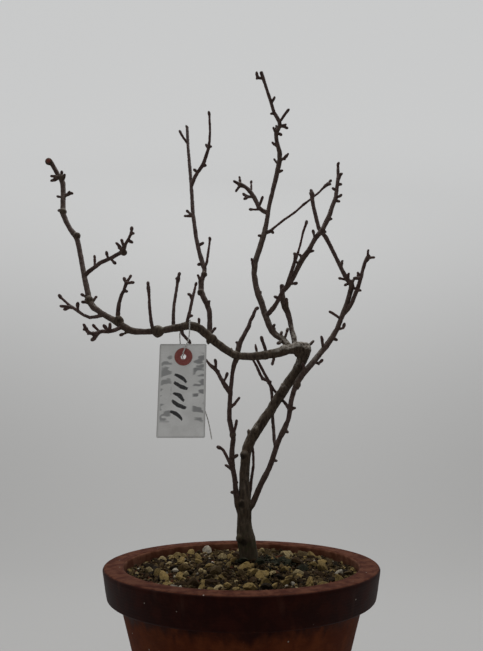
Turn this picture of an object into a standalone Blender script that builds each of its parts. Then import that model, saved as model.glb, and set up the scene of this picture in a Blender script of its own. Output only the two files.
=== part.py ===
"""A bare crabapple bonsai in a round clay pot, with a card tag tied to its low limb.

Metres, +Z up. The origin is the middle of the pot's underside. The tree faces -Y.

The limbs are drawn as a maker would sketch them: across (x) and up (z) in
millimetres on an upright sheet through the trunk, with a depth (y) and a radius
for each point. seat() then moves each point to its depth along the line of
sight, so the drawing keeps its look from the front and gains its real depth.
"""

import math
import random

import bmesh
import bpy
from mathutils import Matrix, Vector

MM = 0.001
GAP = 0.3

# The eye that the sketch was drawn for, in front of the trunk
EYE_DISTANCE = 564.2
EYE_HEIGHT = 252.1

# Clay pot
POT_HEIGHT = 150.0
RIM_RADIUS = 135.0
BAND_HEIGHT = 27.0
BAND_FOOT_RADIUS = 130.0
NECK_RADIUS = 118.5
FOOT_RADIUS = 78.0
LIP_WIDTH = 13.5
FLOOR = 10.0
# Inside of the wall, as (height, radius): straight below the band, flared to the lip
INNER_WALL = [(0.0, 68.0), (FLOOR + 4, 72.6), (122.0, 108.6), (139.0, 117.0), (147.0, 121.5)]
POT_SEGMENTS = 44
DRAIN_RADIUS = 7.0
DRAIN_OFFSET = 36.0
DRAINS = 3

# Plastic screen over the drain holes
SCREEN_RADIUS = 56.0
SCREEN_THICKNESS = 1.2
SCREEN_HOLE = 2.6
SCREEN_PORES = 3

# Granular soil
SOIL_EDGE_DROP = 10.5
SOIL_CROWN = 150.5
SOIL_SEGMENTS = 36
SOIL_RINGS = 5
SOIL_CLEARANCE = 0.6
STONES = 76
STONE_SIZES = (4.0, 6.6)
TRUNK_X = 8.0
TRUNK_HOLE = 10.3
TRUNK_FOOT = 112.0

# Card tag on its string
TAG_WIDTH = 48.0
TAG_HEIGHT = 94.5
TAG_THICKNESS = 0.6
TAG_LEFT = -84.0
TAG_TOP = 364.2
TAG_DEPTH = -40.0
TAG_CORNER = 1.5
EYELET = Vector((-59.4, TAG_DEPTH, 350.9))
EYELET_HOLE = 2.75
EYELET_SLACK = 0.8
RING_RADIUS = 9.25
RING_THICKNESS = 0.3
RING_GAP = 0.15
STRING_DIAMETER = 1.2
STRING_STEP = 2.7
SLANT_SLACK = 0.45

SPUR_SIDES = 4

# Stems: sides of the tube, then points (x, z, depth, radius) from foot to tip
STEMS = {
    "trunk": (10, [
        (8, TRUNK_FOOT, 0, 9.9), (8, 150, 0, 9.9), (7.2, 158, 0, 9.1), (4.9, 170, 0, 9.4),
        (3.6, 176, 0, 8.8), (3, 182, 0, 7.9), (2.9, 190, 0, 7.2), (3, 200, 0, 7.4),
        (3.3, 210, 0, 5.8), (2.8, 230, 2, 5.2), (4.2, 250, 4, 5.3), (6, 260, 5, 5.5),
        (10.3, 270, 6, 5.7), (17, 280, 7, 5.6), (23.7, 290, 7, 5.3), (31.5, 300, 6, 5.2),
        (37.7, 310, 5, 5.3), (44.5, 320, 4, 5.3), (51.5, 330, 2, 5.6), (59, 340, 0, 5.6),
        (64.5, 350, -2, 5.8), (68, 359, -4, 6.2), (70, 367, -6, 7.6), (70.5, 371, -6, 5.0)]),
    "limb": (8, [
        (75, 368.5, -6, 4.6), (71, 368.3, -6, 6.6), (62, 368.5, -8, 6.6), (50, 366, -11, 5.3),
        (40, 363, -14, 5.2), (30, 361, -17, 4.8), (20, 359.5, -20, 4.6), (10, 358.8, -22, 4.1),
        (0, 359, -24, 3.9), (-9, 361, -26, 4), (-20, 368, -29, 4.4), (-29.5, 375.5, -31, 4.6),
        (-40, 385, -34, 4.6), (-46, 390, -35, 4.7), (-52, 392.7, -37, 4.8),
        (-57.5, 393.8, -38, 4.8), (-63, 393.4, -39, 4.5), (-68.5, 392, -40, 4.2),
        (-80, 390, -42, 3.6), (-92, 387.6, -44, 3.4), (-107, 386.8, -45, 3),
        (-118, 387, -44, 3.3), (-125.5, 388.8, -43, 3.8), (-135.5, 395, -41, 3.9),
        (-144.6, 401, -38, 3.3), (-152, 405, -35, 2.9), (-159, 409.5, -32, 2.9),
        (-167, 415, -28, 3.3), (-171.6, 421, -25, 3.2), (-174, 430, -22, 3),
        (-179.5, 450, -16, 2.6), (-184.5, 470, -11, 2.4), (-189.5, 490, -7, 2.5),
        (-192, 498, -5, 2.8), (-195.5, 504, -4, 3.1), (-201, 510.5, -3, 2.5),
        (-206.5, 520, -1, 2.6), (-211, 530, 1, 2.9), (-212, 540, 3, 2.6),
        (-213.3, 560, 7, 2.6), (-214.5, 570, 8, 2.9), (-217.5, 576.5, 9, 2.8),
        (-222, 582.5, 9, 2.3), (-226.5, 590.5, 8, 2.3), (-230, 596, 6, 2.7),
        (-233.6, 600.2, 3, 3.4)]),
    "left_leader": (6, [
        (-35.5, 384, -32, 3), (-35.5, 400, -29, 2.5), (-36.2, 410, -27, 2.7),
        (-39, 419, -25, 2.8), (-43.3, 427.5, -23, 2.9), (-46, 435, -21, 3),
        (-46.2, 446, -18, 3), (-43, 455, -16, 2.5), (-42.6, 461, -15, 2.3),
        (-45, 468, -13, 2.7), (-48.7, 480.5, -10, 2.2), (-53, 500, -6, 2),
        (-57.4, 530, 0, 1.9), (-59.3, 555, 5, 1.8), (-61.5, 580, 10, 1.7),
        (-65.5, 620, 18, 1.5), (-67.3, 647.5, 24, 1.4)]),
    "left_leader_fork": (6, [
        (-60, 567, 7, 2), (-56, 579, 6, 1.9), (-52.8, 585, 4, 1.8), (-48.2, 592.4, 2, 1.9),
        (-45, 600, 0, 1.7), (-40.5, 617, -4, 1.7), (-39.2, 628, -6, 1.2),
        (-38.9, 644, -8, 1.1), (-40.3, 667.5, -11, 1)]),
    "left_leader_twig": (5, [
        (-43, 461, -15, 1.3), (-40, 469.5, -15, 1.2), (-38.6, 481, -15, 1.1),
        (-36.6, 499.5, -14, 0.9)]),
    "left_fan": (6, [
        (-180, 452, -15, 2.4), (-175.5, 458, -16, 2.2), (-168.5, 463.5, -20, 2),
        (-163, 468.5, -24, 1.9), (-150.5, 474.5, -31, 1.8), (-143.5, 479, -35, 1.8),
        (-137.8, 482, -38, 2.6), (-136, 487, -40, 1.9), (-135, 491.5, -42, 1.5),
        (-131.7, 498.5, -44, 1.3), (-129.2, 505.5, -46, 1.3), (-128.9, 512.5, -47, 0.7)]),
    "elbow_shoot": (6, [
        (-139, 396, -40, 2.6), (-139, 410.5, -41, 2.1), (-138.5, 420, -42, 1.8),
        (-136.5, 429, -44, 1.6), (-133.3, 437, -46, 1.4), (-131.6, 444.5, -47, 1.5)]),
    "back_shoot": (6, [
        (-154, 406.5, -34, 2), (-163, 404.3, -30, 1.6), (-170, 403.2, -27, 1.5),
        (-177.5, 406, -24, 1.4), (-189, 414, -20, 1.4), (-195, 418, -18, 1.2),
        (-206.7, 428.5, -15, 0.9)]),
    "low_shoot": (6, [
        (-133, 392.5, -42, 2.2), (-141.2, 388.7, -46, 1.8), (-148, 386.8, -50, 1.8),
        (-155, 387.3, -54, 1.7), (-165, 384.5, -60, 1.7), (-170, 385.5, -62, 1.8),
        (-174, 390, -64, 1.9), (-176.3, 395.3, -65, 1)]),
    "limb_shoot_1": (6, [
        (-98.5, 386, -46, 1.8), (-101.5, 400, -49, 1.5), (-103.4, 412, -50, 1.4),
        (-105.2, 432, -52, 1.2), (-106, 438, -52, 1.9), (-107, 445, -52, 0.5)]),
    "limb_shoot_2": (6, [
        (-76.2, 390, -41, 1.9), (-76.5, 406, -39, 1.5), (-76.3, 418, -37, 1.4),
        (-73.2, 443, -33, 1.3), (-72.4, 449, -33, 2.1), (-71.2, 456, -33, 0.6)]),
    "limb_shoot_3": (6, [
        (-62.5, 393, -40.5, 1.6), (-58.6, 408.5, -41, 1.4), (-55.6, 425, -39, 1.3),
        (-54.1, 432, -38, 1.1), (-52, 443.4, -36, 0.8)]),
    "under_limb_shoot": (5, [
        (-67, 390, -39, 1.8), (-65.6, 384, -38.5, 1.4), (-60, 378, -37, 1.3),
        (-57.2, 375, -36, 0.9)]),
    "leader": (7, [
        (54, 367, -9, 4.0), (50, 373, -7, 3.8), (45, 379, -5, 3.5), (38.5, 383, -2, 3.3),
        (33.8, 387.5, 0, 3.4), (31.2, 393.5, 2, 3.2), (26.7, 405.6, 6, 3.3),
        (22.8, 420, 10, 3.5), (19.4, 429, 12, 3.4), (16.5, 440, 15, 3.1),
        (14.3, 455, 18, 3), (15.8, 470, 21, 3.2), (19.1, 480, 23, 2.9),
        (25.3, 500, 27, 3.1), (29.8, 520, 31, 2.4), (32.7, 540, 33, 2.2),
        (37.4, 560, 35, 2.3), (42.1, 580, 37, 2.6), (46.2, 600, 37, 2.9),
        (46.6, 612, 36, 2.7), (43.3, 626, 34, 2.1), (42.4, 638, 32, 2.4),
        (45.4, 644, 31, 2.4), (47.6, 650, 30, 2.3), (46.6, 655.5, 29, 2.1),
        (40.3, 668.5, 27, 1.8), (36.9, 683, 25, 1.8), (32.1, 700.5, 22, 1.5),
        (27.3, 719, 18, 1.8), (25, 727, 17, 2.1)]),
    "leader_left_shoot": (6, [
        (31.5, 530.5, 32, 2.4), (25, 534.3, 34, 2.2), (20.2, 538.5, 35, 2.3),
        (18, 545, 36, 2.3), (15.3, 551, 37, 2.5), (12.2, 556.5, 38, 2.4),
        (8, 562, 39, 2.1), (3.5, 566, 40, 2), (-1.2, 568, 41, 3), (-4, 568.8, 41, 1.8)]),
    "leader_whip": (5, [
        (27.5, 505.5, 28, 2), (33.8, 508, 28, 1.9), (37.8, 512, 28, 1.1),
        (49.6, 522, 28, 1.1), (64.3, 533, 28, 1), (72, 540.5, 29, 1), (74.3, 542.6, 29, 1.4),
        (79, 546.4, 29, 1), (92.5, 558, 30, 1), (97.4, 563.4, 30, 1.1), (101, 567, 30, 1.8),
        (103.5, 569.3, 30, 1.6), (107.6, 574, 30, 0.5)]),
    "knuckle_shoot": (7, [
        (59.5, 369, -7, 3.2), (58.2, 380, -5, 2.8), (55.8, 390, -3, 2.6), (54.3, 400, -1, 2.6),
        (52, 409, 1, 3.1), (49, 416, 3, 3.8), (47.4, 422, 4, 3.2), (46.3, 431, 5, 2.5),
        (45.9, 441.6, 6, 2.2)]),
    "crossing_stem": (7, [
        (27, 404, 6, 2.4), (33.3, 411, 2, 2.4), (36.6, 415, 0, 2.6), (39.9, 420.5, -2, 2.1),
        (44.3, 429, -5, 2), (47.5, 434.8, -6, 2.4), (52.5, 440.5, -7, 3),
        (58.8, 450, -8, 2.4), (63.8, 460, -10, 2.5), (68.2, 469.5, -11, 3.1),
        (72.3, 476, -11, 3), (77.7, 483, -12, 2.6), (81.3, 490, -12, 2.3),
        (86.7, 500, -13, 2.6), (91.5, 505.3, -13, 2.6), (95.3, 510.5, -13, 2.6),
        (99.8, 519.5, -12, 2.6), (104.4, 529.5, -11, 2.4), (107.8, 540, -10, 2.2),
        (112, 550, -9, 2.3), (113.8, 560, -8, 1.9), (116.5, 580, -6, 1.6),
        (117.1, 597, -5, 1.1)]),
    "crossing_fork": (6, [
        (51, 438.5, -7, 2.2), (54.8, 450, -11, 2), (58.2, 460, -14, 1.7),
        (61.5, 470, -17, 1.7), (62.7, 475.5, -18, 2.3), (62.2, 480, -18, 1)]),
    "crossing_whip": (5, [
        (62.8, 473, -18, 1.3), (66.1, 483, -19, 1), (69.2, 494, -20, 0.9),
        (72.1, 506.6, -21, 1.1), (76.9, 520, -22, 1.1)]),
    "right_stem": (7, [
        (5.5, 197, 0, 3.6), (11.2, 204, -1, 3.2), (14, 210, -1, 2.9), (18.2, 220, -2, 2.7),
        (23.5, 230, -3, 2.7), (29, 240, -3, 2.5), (32.8, 250, -4, 2.6), (36, 260, -4, 2.4),
        (40.2, 270, -4, 2.3), (45.5, 280, -5, 2.9), (50, 290, -6, 2), (52, 300, -7, 2.3),
        (53.5, 310, -8, 2.2), (56.4, 320, -9, 2.4), (60.5, 330, -10, 3), (67.5, 340, -10, 3.1),
        (76.6, 350, -9, 3), (84.8, 360, -7, 2.9), (93.4, 370, -5, 2.9), (100.5, 380, -2, 2.8),
        (106.8, 390, 0, 2.5), (110.9, 400, 2, 2.4), (115.2, 410, 4, 2.8),
        (119.5, 420, 5, 2.5), (122.7, 430, 6, 2.5), (125.6, 440, 6, 3), (125.8, 447, 6, 2.2)]),
    "right_back_shoot": (6, [
        (125.8, 441, 6, 2.6), (119.9, 450, 8, 2.4), (115.5, 460, 10, 2), (107.3, 480, 13, 1.9),
        (103.2, 490, 14, 2), (98.6, 500, 15, 2.3), (94.8, 505.5, 15, 2.1),
        (90.8, 511.5, 16, 2.1), (89, 520, 17, 1.9), (85.3, 540, 19, 1.9),
        (84.3, 549, 20, 2.2), (84.3, 556, 20, 2.6), (83.8, 561, 20, 0.9)]),
    "right_front_shoot": (6, [
        (115.5, 408, 4, 2.4), (120.5, 413, 3, 2.2), (124.8, 420, 2, 2), (128.9, 430, 1, 2.1),
        (133.3, 440, 0, 2.1), (136.6, 450, -1, 1.9), (139.4, 460, -2, 1.5),
        (142.4, 469, -3, 1.7), (145.4, 473.6, -3, 2.7), (147.9, 477.5, -3, 1.6)]),
    "left_stem": (7, [
        (0, 193, 0, 3.6), (-4.2, 203, -2, 3.1), (-5.2, 212, -3, 2.8), (-6.2, 220, -4, 2.5),
        (-7, 230, -5, 2.4), (-9.1, 240, -7, 2.3), (-10.3, 250, -8, 2.7), (-9.9, 260, -10, 2.4),
        (-8.6, 270, -11, 2.4), (-10.6, 279, -12, 2.3), (-12.9, 290, -13, 2.3),
        (-13.1, 300, -14, 2.1), (-12, 320, -17, 2.2), (-10.9, 330, -18, 1.8),
        (-10, 340, -20, 1.8), (-8.1, 350, -22, 2.3), (-5.5, 356, -23, 3), (-3.8, 366, -24, 2.8),
        (-0.8, 376, -23, 2.3), (3.4, 384, -22, 2.1), (8.3, 393.4, -20, 2), (9.8, 399, -19, 1.6),
        (13, 405, -18, 1.7), (14.9, 410.7, -17, 1.3), (17.5, 414.8, -16, 0.9)]),
    "left_stem_shoot": (6, [
        (-12, 318, -17, 2.4), (-17, 325.5, -19, 2.5), (-20, 330.5, -20, 2),
        (-23, 335, -21, 1.6), (-26.2, 341.6, -22, 1.8), (-29, 345, -23, 2),
        (-34.6, 349.3, -24, 1.3), (-39.2, 355, -25, 0.8)]),
    "left_stem_hook": (5, [
        (-10, 240, -8, 1.6), (-12.8, 246.5, -10, 1.5), (-17.4, 255.3, -12, 1.3),
        (-19.7, 259, -13, 1.2), (-22.7, 261, -14, 1.4), (-25, 261.4, -14, 0.8)]),
    "inner_whip": (5, [
        (36.3, 259.5, -4, 1.8), (34.6, 269, 0, 1.5), (34.3, 279, 7, 1.5), (33.2, 292, 14, 1.5),
        (33.4, 310, 15, 1.4), (32.2, 324, 13, 1.4), (30.6, 330, 11, 1.5),
        (25.2, 339.5, 8, 1.3), (17.6, 354.7, 5, 1.2), (14.5, 362, 4, 0.9)]),
    "inner_whip_fork": (5, [
        (30.6, 328, 11, 1.3), (28, 332, 12, 1.4), (23, 334.3, 13, 1.6), (20.8, 338.3, 13, 1.2),
        (17, 347, 12, 1.2), (9.5, 361, 12, 0.9)]),
    "inner_whip_link": (5, [
        (52, 299.5, -7, 1.8), (48.5, 305.8, -1, 1.6), (44.5, 310.5, 7, 1.4),
        (39.3, 317.5, 14, 1.3), (35, 322, 14, 1.3), (31.2, 328, 11, 1.2)]),
    "foot_whip": (5, [
        (7, 201, 3, 1.6), (9.3, 218, 5, 1.4), (10, 227, 6, 1.3), (12.6, 243, 8, 1.1),
        (12.3, 256, 10, 1), (11, 268, 14, 0.8)]),
}

# Spurs and buds on each stem: radius, then points (x, z) from the stem to the tip
SPURS = {
    "limb": [
        (1.3, (-47.6, 392), (-47.6, 401.4)), (1.3, (-35, 382), (-29.6, 390.8)),
        (1.2, (-10.5, 361), (-10.8, 368.5)), (2.9, (-37, 379), (-37, 372.6)),
        (3.6, (-93, 387), (-93.5, 380.6)), (1.2, (-122, 388), (-134.9, 383)),
        (1.5, (37.2, 361), (33.6, 350)), (1.5, (74, 370.5), (80.2, 376.4)),
        (1.7, (28, 362.5), (24, 374), (22, 380)), (1.3, (17.6, 360), (15.2, 372.8)),
        (1.3, (-172, 424), (-181.3, 430.6)), (1.6, (-170, 419.5), (-179.2, 421.7)),
        (1.3, (-169.5, 419), (-164.8, 428)), (1.6, (-211.5, 533), (-215.9, 534.5)),
        (1.2, (-212.5, 551), (-219, 552.7)), (1.8, (-212.5, 553), (-203, 557.2)),
        (1.2, (-208, 554.6), (-205.4, 560)), (2.2, (-217, 577), (-229.2, 580.2)),
        (1.9, (-219, 578), (-228.5, 573.2)), (1.3, (-217, 577), (-217.3, 585.6)),
        (1.9, (-215.5, 573), (-213, 581.6)), (2.1, (-193, 501), (-189.6, 504.6))],
    "trunk": [
        (2.2, (8, 274), (7.4, 280)), (1.5, (47.5, 324.5), (43, 328.8)),
        (2.2, (2, 205), (-2.4, 207)), (1.6, (66, 353), (70.2, 356))],
    "left_leader": [
        (1.7, (-45.9, 444), (-49.7, 453.4)), (1.2, (-44.5, 430), (-50, 430.6)),
        (1.2, (-37.5, 414.5), (-36.2, 422.4)), (1.1, (-44, 452), (-39, 453.2)),
        (1.2, (-44.8, 467), (-49.4, 467)), (1.4, (-50.8, 490), (-45, 492.5)),
        (1.4, (-57, 527), (-64.7, 533.9)), (1.5, (-57, 527), (-67, 527.7)),
        (1.4, (-66, 624), (-72, 633), (-76.2, 641))],
    "left_leader_fork": [
        (1.2, (-53, 584), (-57, 588.8)), (2, (-47, 594), (-43, 594.3)),
        (1.2, (-40.6, 616), (-43.5, 622.6)), (1.1, (-40.5, 618), (-37.2, 620.4))],
    "left_fan": [
        (1.2, (-168.8, 463.5), (-170, 477)), (1.1, (-154, 473), (-156.7, 481)),
        (1.1, (-152, 474), (-145.6, 467.6)), (2, (-137.8, 482.5), (-144.9, 493)),
        (1.5, (-136.5, 486), (-139.7, 496.6)), (1, (-132.8, 496.5), (-128, 494.3)),
        (1, (-130, 503), (-126.6, 505.9))],
    "elbow_shoot": [
        (1.4, (-131.8, 443.5), (-126.8, 452.6)), (1.3, (-131.8, 443.5), (-123.2, 445.2)),
        (1.4, (-131.8, 443.5), (-134.5, 449.6)), (1.2, (-134.6, 433), (-130.6, 434.8))],
    "back_shoot": [
        (1.4, (-184.2, 410.6), (-185.4, 420)), (1.7, (-190, 414.6), (-203.6, 416.7)),
        (1.2, (-191.5, 415.6), (-195, 414.6), (-199.6, 412.2))],
    "low_shoot": [
        (1.3, (-158, 386.4), (-166.3, 394.5)), (1.9, (-159, 386), (-163, 380.5), (-165.8, 377)),
        (1.6, (-149.4, 387), (-153.2, 393.8)), (1.6, (-147.2, 387), (-147, 396))],
    "limb_shoot_3": [
        (1.5, (-55.8, 424), (-58.9, 431.6)), (1, (-57.4, 428), (-60.2, 430.8)),
        (1.1, (-60, 403), (-55.8, 405.5))],
    "leader": [
        (1.2, (13.9, 459), (11.7, 473.2)), (1.6, (25, 501), (20.4, 502.9)),
        (1.4, (19.8, 427), (22.6, 434)), (1.1, (38, 383), (36.2, 394.6)),
        (1.1, (44.5, 379), (44.8, 387.6)), (1.2, (47.5, 377), (51.4, 389.4)),
        (1.3, (46.5, 377), (40.5, 373.2)), (1.7, (46.3, 601), (51.3, 603.2), (57, 609.6)),
        (1.4, (45.2, 594), (39.8, 602.2)), (1.7, (43.5, 585), (48.8, 586.4)),
        (1.5, (44, 620), (37.5, 625.1)), (1.5, (42.8, 639), (49, 636.6)),
        (1.8, (42.5, 638.5), (39.5, 645.6)), (1.6, (43, 640), (43, 649.2)),
        (1.6, (47, 647), (54.6, 650.9)), (1.2, (49.5, 648.2), (56.6, 646)),
        (1.5, (46.8, 653.5), (53.4, 664), (58.6, 672)), (1.1, (41.5, 665.5), (36.7, 666.5)),
        (1.8, (37.1, 681), (41.7, 689.6)), (1.6, (27.6, 717.5), (20.5, 718.6), (19, 725.5))],
    "leader_left_shoot": [
        (1.1, (23, 535.6), (10.2, 535.7)), (1.6, (14.5, 552), (7.5, 552.4), (1.8, 555.7)),
        (1.1, (8.5, 552.3), (4.2, 549.8)), (1.1, (11.8, 557), (11.6, 572.6)),
        (1.5, (20.2, 538), (23.5, 546.8), (25, 552.4)), (1.5, (-1.2, 568), (-9, 572.8)),
        (1.4, (-1.2, 568), (-2.5, 578.3)), (1.4, (-1.2, 567.6), (-6.8, 559.8))],
    "leader_whip": [
        (1, (101, 567), (106.4, 568.9)), (1, (33.6, 508), (37, 506.4))],
    "knuckle_shoot": [
        (2.2, (52, 409), (51.3, 416), (50.4, 424.4))],
    "crossing_stem": [
        (1.1, (42.6, 426), (38.1, 427.7)), (1.3, (54, 442.3), (62.8, 443.9)),
        (1.3, (69.5, 471.5), (67.8, 479)), (1.2, (66.8, 466.5), (62.9, 470)),
        (1.3, (76.4, 481.5), (83.5, 483.1)), (1.2, (85.5, 498), (83.7, 508.6)),
        (1.5, (93.6, 508.2), (98.6, 507.8)), (1.7, (101.3, 523), (106, 523.3)),
        (1.3, (110.5, 546.8), (115.8, 546.4)), (1.2, (112, 550.5), (119.2, 554.2)),
        (1.1, (113.8, 560), (109.4, 563.3)), (1.4, (115, 568), (119.3, 568.8)),
        (1.5, (115.6, 572), (120.4, 583.2))],
    "crossing_fork": [
        (1.1, (62.4, 474), (65.6, 478.4))],
    "right_stem": [
        (1.2, (32.4, 249.3), (36.4, 247.4)), (2.1, (45, 279.5), (49.3, 277.4)),
        (1.5, (52.1, 300), (57.2, 302.6)), (1.9, (58.2, 324.6), (62.3, 323)),
        (1.3, (79, 353), (84.6, 350.8), (89.2, 354.9)), (1.3, (69, 341.8), (67.7, 350.4)),
        (1.6, (90.4, 366.6), (89.8, 373), (89.3, 381)), (1.7, (100.4, 379.6), (105.2, 377.3)),
        (1.2, (106, 388.6), (113.8, 391.2), (115, 395.6)),
        (1.3, (111.6, 401.5), (104.5, 406.8), (98.9, 410.5)),
        (1.4, (125.4, 439.4), (134.3, 434.8)), (2, (125.8, 444), (128.6, 447.6))],
    "right_back_shoot": [
        (1.3, (115.4, 460.4), (115.2, 464), (116.7, 471)), (1.3, (121.6, 447.4), (112, 450)),
        (1.2, (122.4, 446), (122.5, 456)), (1.2, (124, 443.8), (117.8, 441.6)),
        (1.3, (84.3, 553.5), (81.2, 557.5))],
    "right_front_shoot": [
        (1.2, (146, 474.4), (146.9, 484.1)), (1.2, (146, 474.4), (153.5, 475.4)),
        (1.3, (136.4, 449.2), (129.7, 449.8)), (1.1, (133, 449.5), (133.5, 456)),
        (1.4, (131.5, 436), (135.6, 434.9))],
    "left_stem": [
        (1.3, (-5.6, 215.4), (-10, 216.2)), (1.1, (-6.6, 226), (-3.2, 225.7)),
        (1.6, (-8.6, 237.6), (-16.1, 243.3)), (1.4, (-10.3, 248.8), (-4.5, 253.2)),
        (1.4, (-8.7, 272), (-7, 281), (-4.8, 289.6)), (1.4, (-13.1, 302), (-7.5, 306.7), (-2.8, 313)),
        (1.3, (-4, 364), (-5, 374.4))],
    "left_stem_shoot": [
        (1.3, (-19.8, 330), (-17.6, 334.4), (-15.2, 340)), (1.1, (-27.8, 343.6), (-28.6, 354.6))],
}

CLAY = (0.087, 0.0225, 0.0095)
SOIL = (0.070, 0.046, 0.022)
BARK = (0.050, 0.042, 0.037)
CARD = (0.30, 0.30, 0.295)
RED_PAPER = (0.13, 0.035, 0.028)
TWINE = (0.28, 0.25, 0.21)
BLACK_PLASTIC = (0.02, 0.02, 0.021)


def clear_scene():
    for old in list(bpy.data.objects):
        bpy.data.objects.remove(old, do_unlink=True)


def paint(name, colour, roughness):
    material = bpy.data.materials.new(name)
    material.use_nodes = True
    shader = material.node_tree.nodes["Principled BSDF"]
    shader.inputs["Base Color"].default_value = (*colour, 1.0)
    shader.inputs["Roughness"].default_value = roughness
    shader.inputs["Metallic"].default_value = 0.0
    return material


def new_object(name, shape, material, collection=None):
    """Turns a bmesh drawn in millimetres into an object in metres."""
    bmesh.ops.recalc_face_normals(shape, faces=shape.faces[:])
    bmesh.ops.transform(shape, matrix=Matrix.Scale(MM, 4), verts=shape.verts[:])
    mesh = bpy.data.meshes.new(name)
    shape.to_mesh(mesh)
    shape.free()
    mesh.materials.append(material)
    item = bpy.data.objects.new(name, mesh)
    (collection or bpy.context.scene.collection).objects.link(item)
    return item


def combine(target, cutters, operation, solver):
    """Applies one Boolean with every object of a collection, then removes them."""
    modifier = target.modifiers.new(operation.title(), "BOOLEAN")
    modifier.operation = operation
    modifier.operand_type = "COLLECTION"
    modifier.collection = cutters
    modifier.solver = solver
    depsgraph = bpy.context.evaluated_depsgraph_get()
    mesh = bpy.data.meshes.new_from_object(target.evaluated_get(depsgraph))
    target.modifiers.clear()
    material = target.data.materials[0]
    target.data = mesh
    mesh.materials.clear()
    mesh.materials.append(material)
    for item in list(cutters.objects):
        bpy.data.objects.remove(item, do_unlink=True)
    bpy.data.collections.remove(cutters)


def new_collection(name):
    collection = bpy.data.collections.new(name)
    bpy.context.scene.collection.children.link(collection)
    return collection


def lathe(profile, segments):
    """Turns (radius, height) points about Z. A radius of zero makes a pole."""
    shape = bmesh.new()
    rings = []
    for radius, height in profile:
        if radius == 0:
            rings.append([shape.verts.new((0, 0, height))])
            continue
        ring = []
        for i in range(segments):
            angle = math.tau * i / segments
            ring.append(shape.verts.new((radius * math.cos(angle), radius * math.sin(angle), height)))
        rings.append(ring)
    for lower, upper in zip(rings, rings[1:]):
        for i in range(segments):
            j = (i + 1) % segments
            corners = [lower[i % len(lower)], lower[j % len(lower)],
                       upper[j % len(upper)], upper[i % len(upper)]]
            shape.faces.new(list(dict.fromkeys(corners)))
    return shape


def cylinder(centre, radius, bottom, top, sides):
    shape = bmesh.new()
    bmesh.ops.create_cone(shape, cap_ends=True, segments=sides, radius1=radius, radius2=radius,
                          depth=top - bottom,
                          matrix=Matrix.Translation((centre[0], centre[1], (top + bottom) / 2)))
    return shape


def inner_radius(height):
    """Inside of the pot's wall at a height, between the points of INNER_WALL."""
    for (z0, r0), (z1, r1) in zip(INNER_WALL, INNER_WALL[1:]):
        if height <= z1:
            return r0 + (r1 - r0) * (height - z0) / (z1 - z0)
    return INNER_WALL[-1][1]


def seat(x, z, depth):
    """Moves a sketched point to its depth along the line of sight."""
    scale = (EYE_DISTANCE + depth) / EYE_DISTANCE
    return Vector((x * scale, depth, EYE_HEIGHT + (z - EYE_HEIGHT) * scale)), scale


def smooth_route(points, step):
    """Reads evenly spaced points from a Catmull-Rom curve through the route."""
    ends = [2 * points[0] - points[1], *points, 2 * points[-1] - points[-2]]
    fine = []
    for a, b, c, d in zip(ends, ends[1:], ends[2:], ends[3:]):
        for i in range(16):
            t = i / 16
            fine.append(0.5 * (2 * b + (c - a) * t + (2 * a - 5 * b + 4 * c - d) * t * t
                               + (3 * b - a - 3 * c + d) * t ** 3))
    fine.append(points[-1].copy())
    total = sum((q - p).length for p, q in zip(fine, fine[1:]))
    spacing = total / round(total / step)
    route = [fine[0]]
    since = 0.0
    for p, q in zip(fine, fine[1:]):
        since += (q - p).length
        if since >= spacing:
            route.append(q)
            since -= spacing
    if (route[-1] - fine[-1]).length > spacing / 2:
        route.append(fine[-1])
    else:
        route[-1] = fine[-1]
    return route


def tube(stations, sides, tip_length=0.45):
    """Skins a round tube over (centre, radius) stations, with domed ends."""
    shape = bmesh.new()
    centres = [centre for centre, radius in stations]
    steps = [(b - a).normalized() for a, b in zip(centres, centres[1:])]
    headings = [steps[0]] + [(a + b).normalized() for a, b in zip(steps, steps[1:])] + [steps[-1]]
    across = headings[0].orthogonal().normalized()
    rings = []
    for (centre, radius), heading in zip(stations, headings):
        across = (across - across.dot(heading) * heading).normalized()
        up = heading.cross(across)
        ring = []
        for i in range(sides):
            angle = math.tau * i / sides
            ring.append(shape.verts.new(centre + radius * (math.cos(angle) * across + math.sin(angle) * up)))
        rings.append(ring)
    for lower, upper in zip(rings, rings[1:]):
        for i in range(sides):
            j = (i + 1) % sides
            shape.faces.new([lower[i], lower[j], upper[j], upper[i]])
    foot = shape.verts.new(centres[0] - headings[0] * tip_length * stations[0][1])
    tip = shape.verts.new(centres[-1] + headings[-1] * tip_length * stations[-1][1])
    for i in range(sides):
        j = (i + 1) % sides
        shape.faces.new([foot, rings[0][j], rings[0][i]])
        shape.faces.new([tip, rings[-1][i], rings[-1][j]])
    return shape


def stem_stations(name):
    stations = []
    for x, z, depth, radius in STEMS[name][1]:
        centre, scale = seat(x, z, depth)
        stations.append((centre, radius * scale))
    return stations


def depth_on(name, x, z):
    """Depth of a stem's middle, nearest to a sketched point."""
    best = None
    points = STEMS[name][1]
    for (x0, z0, y0, _), (x1, z1, y1, _) in zip(points, points[1:]):
        run = Vector((x1 - x0, z1 - z0))
        t = max(0.0, min(1.0, (Vector((x - x0, z - z0))).dot(run) / run.length_squared))
        miss = (Vector((x0, z0)) + t * run - Vector((x, z))).length
        if best is None or miss < best[0]:
            best = (miss, y0 + t * (y1 - y0))
    return best[1]


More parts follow.
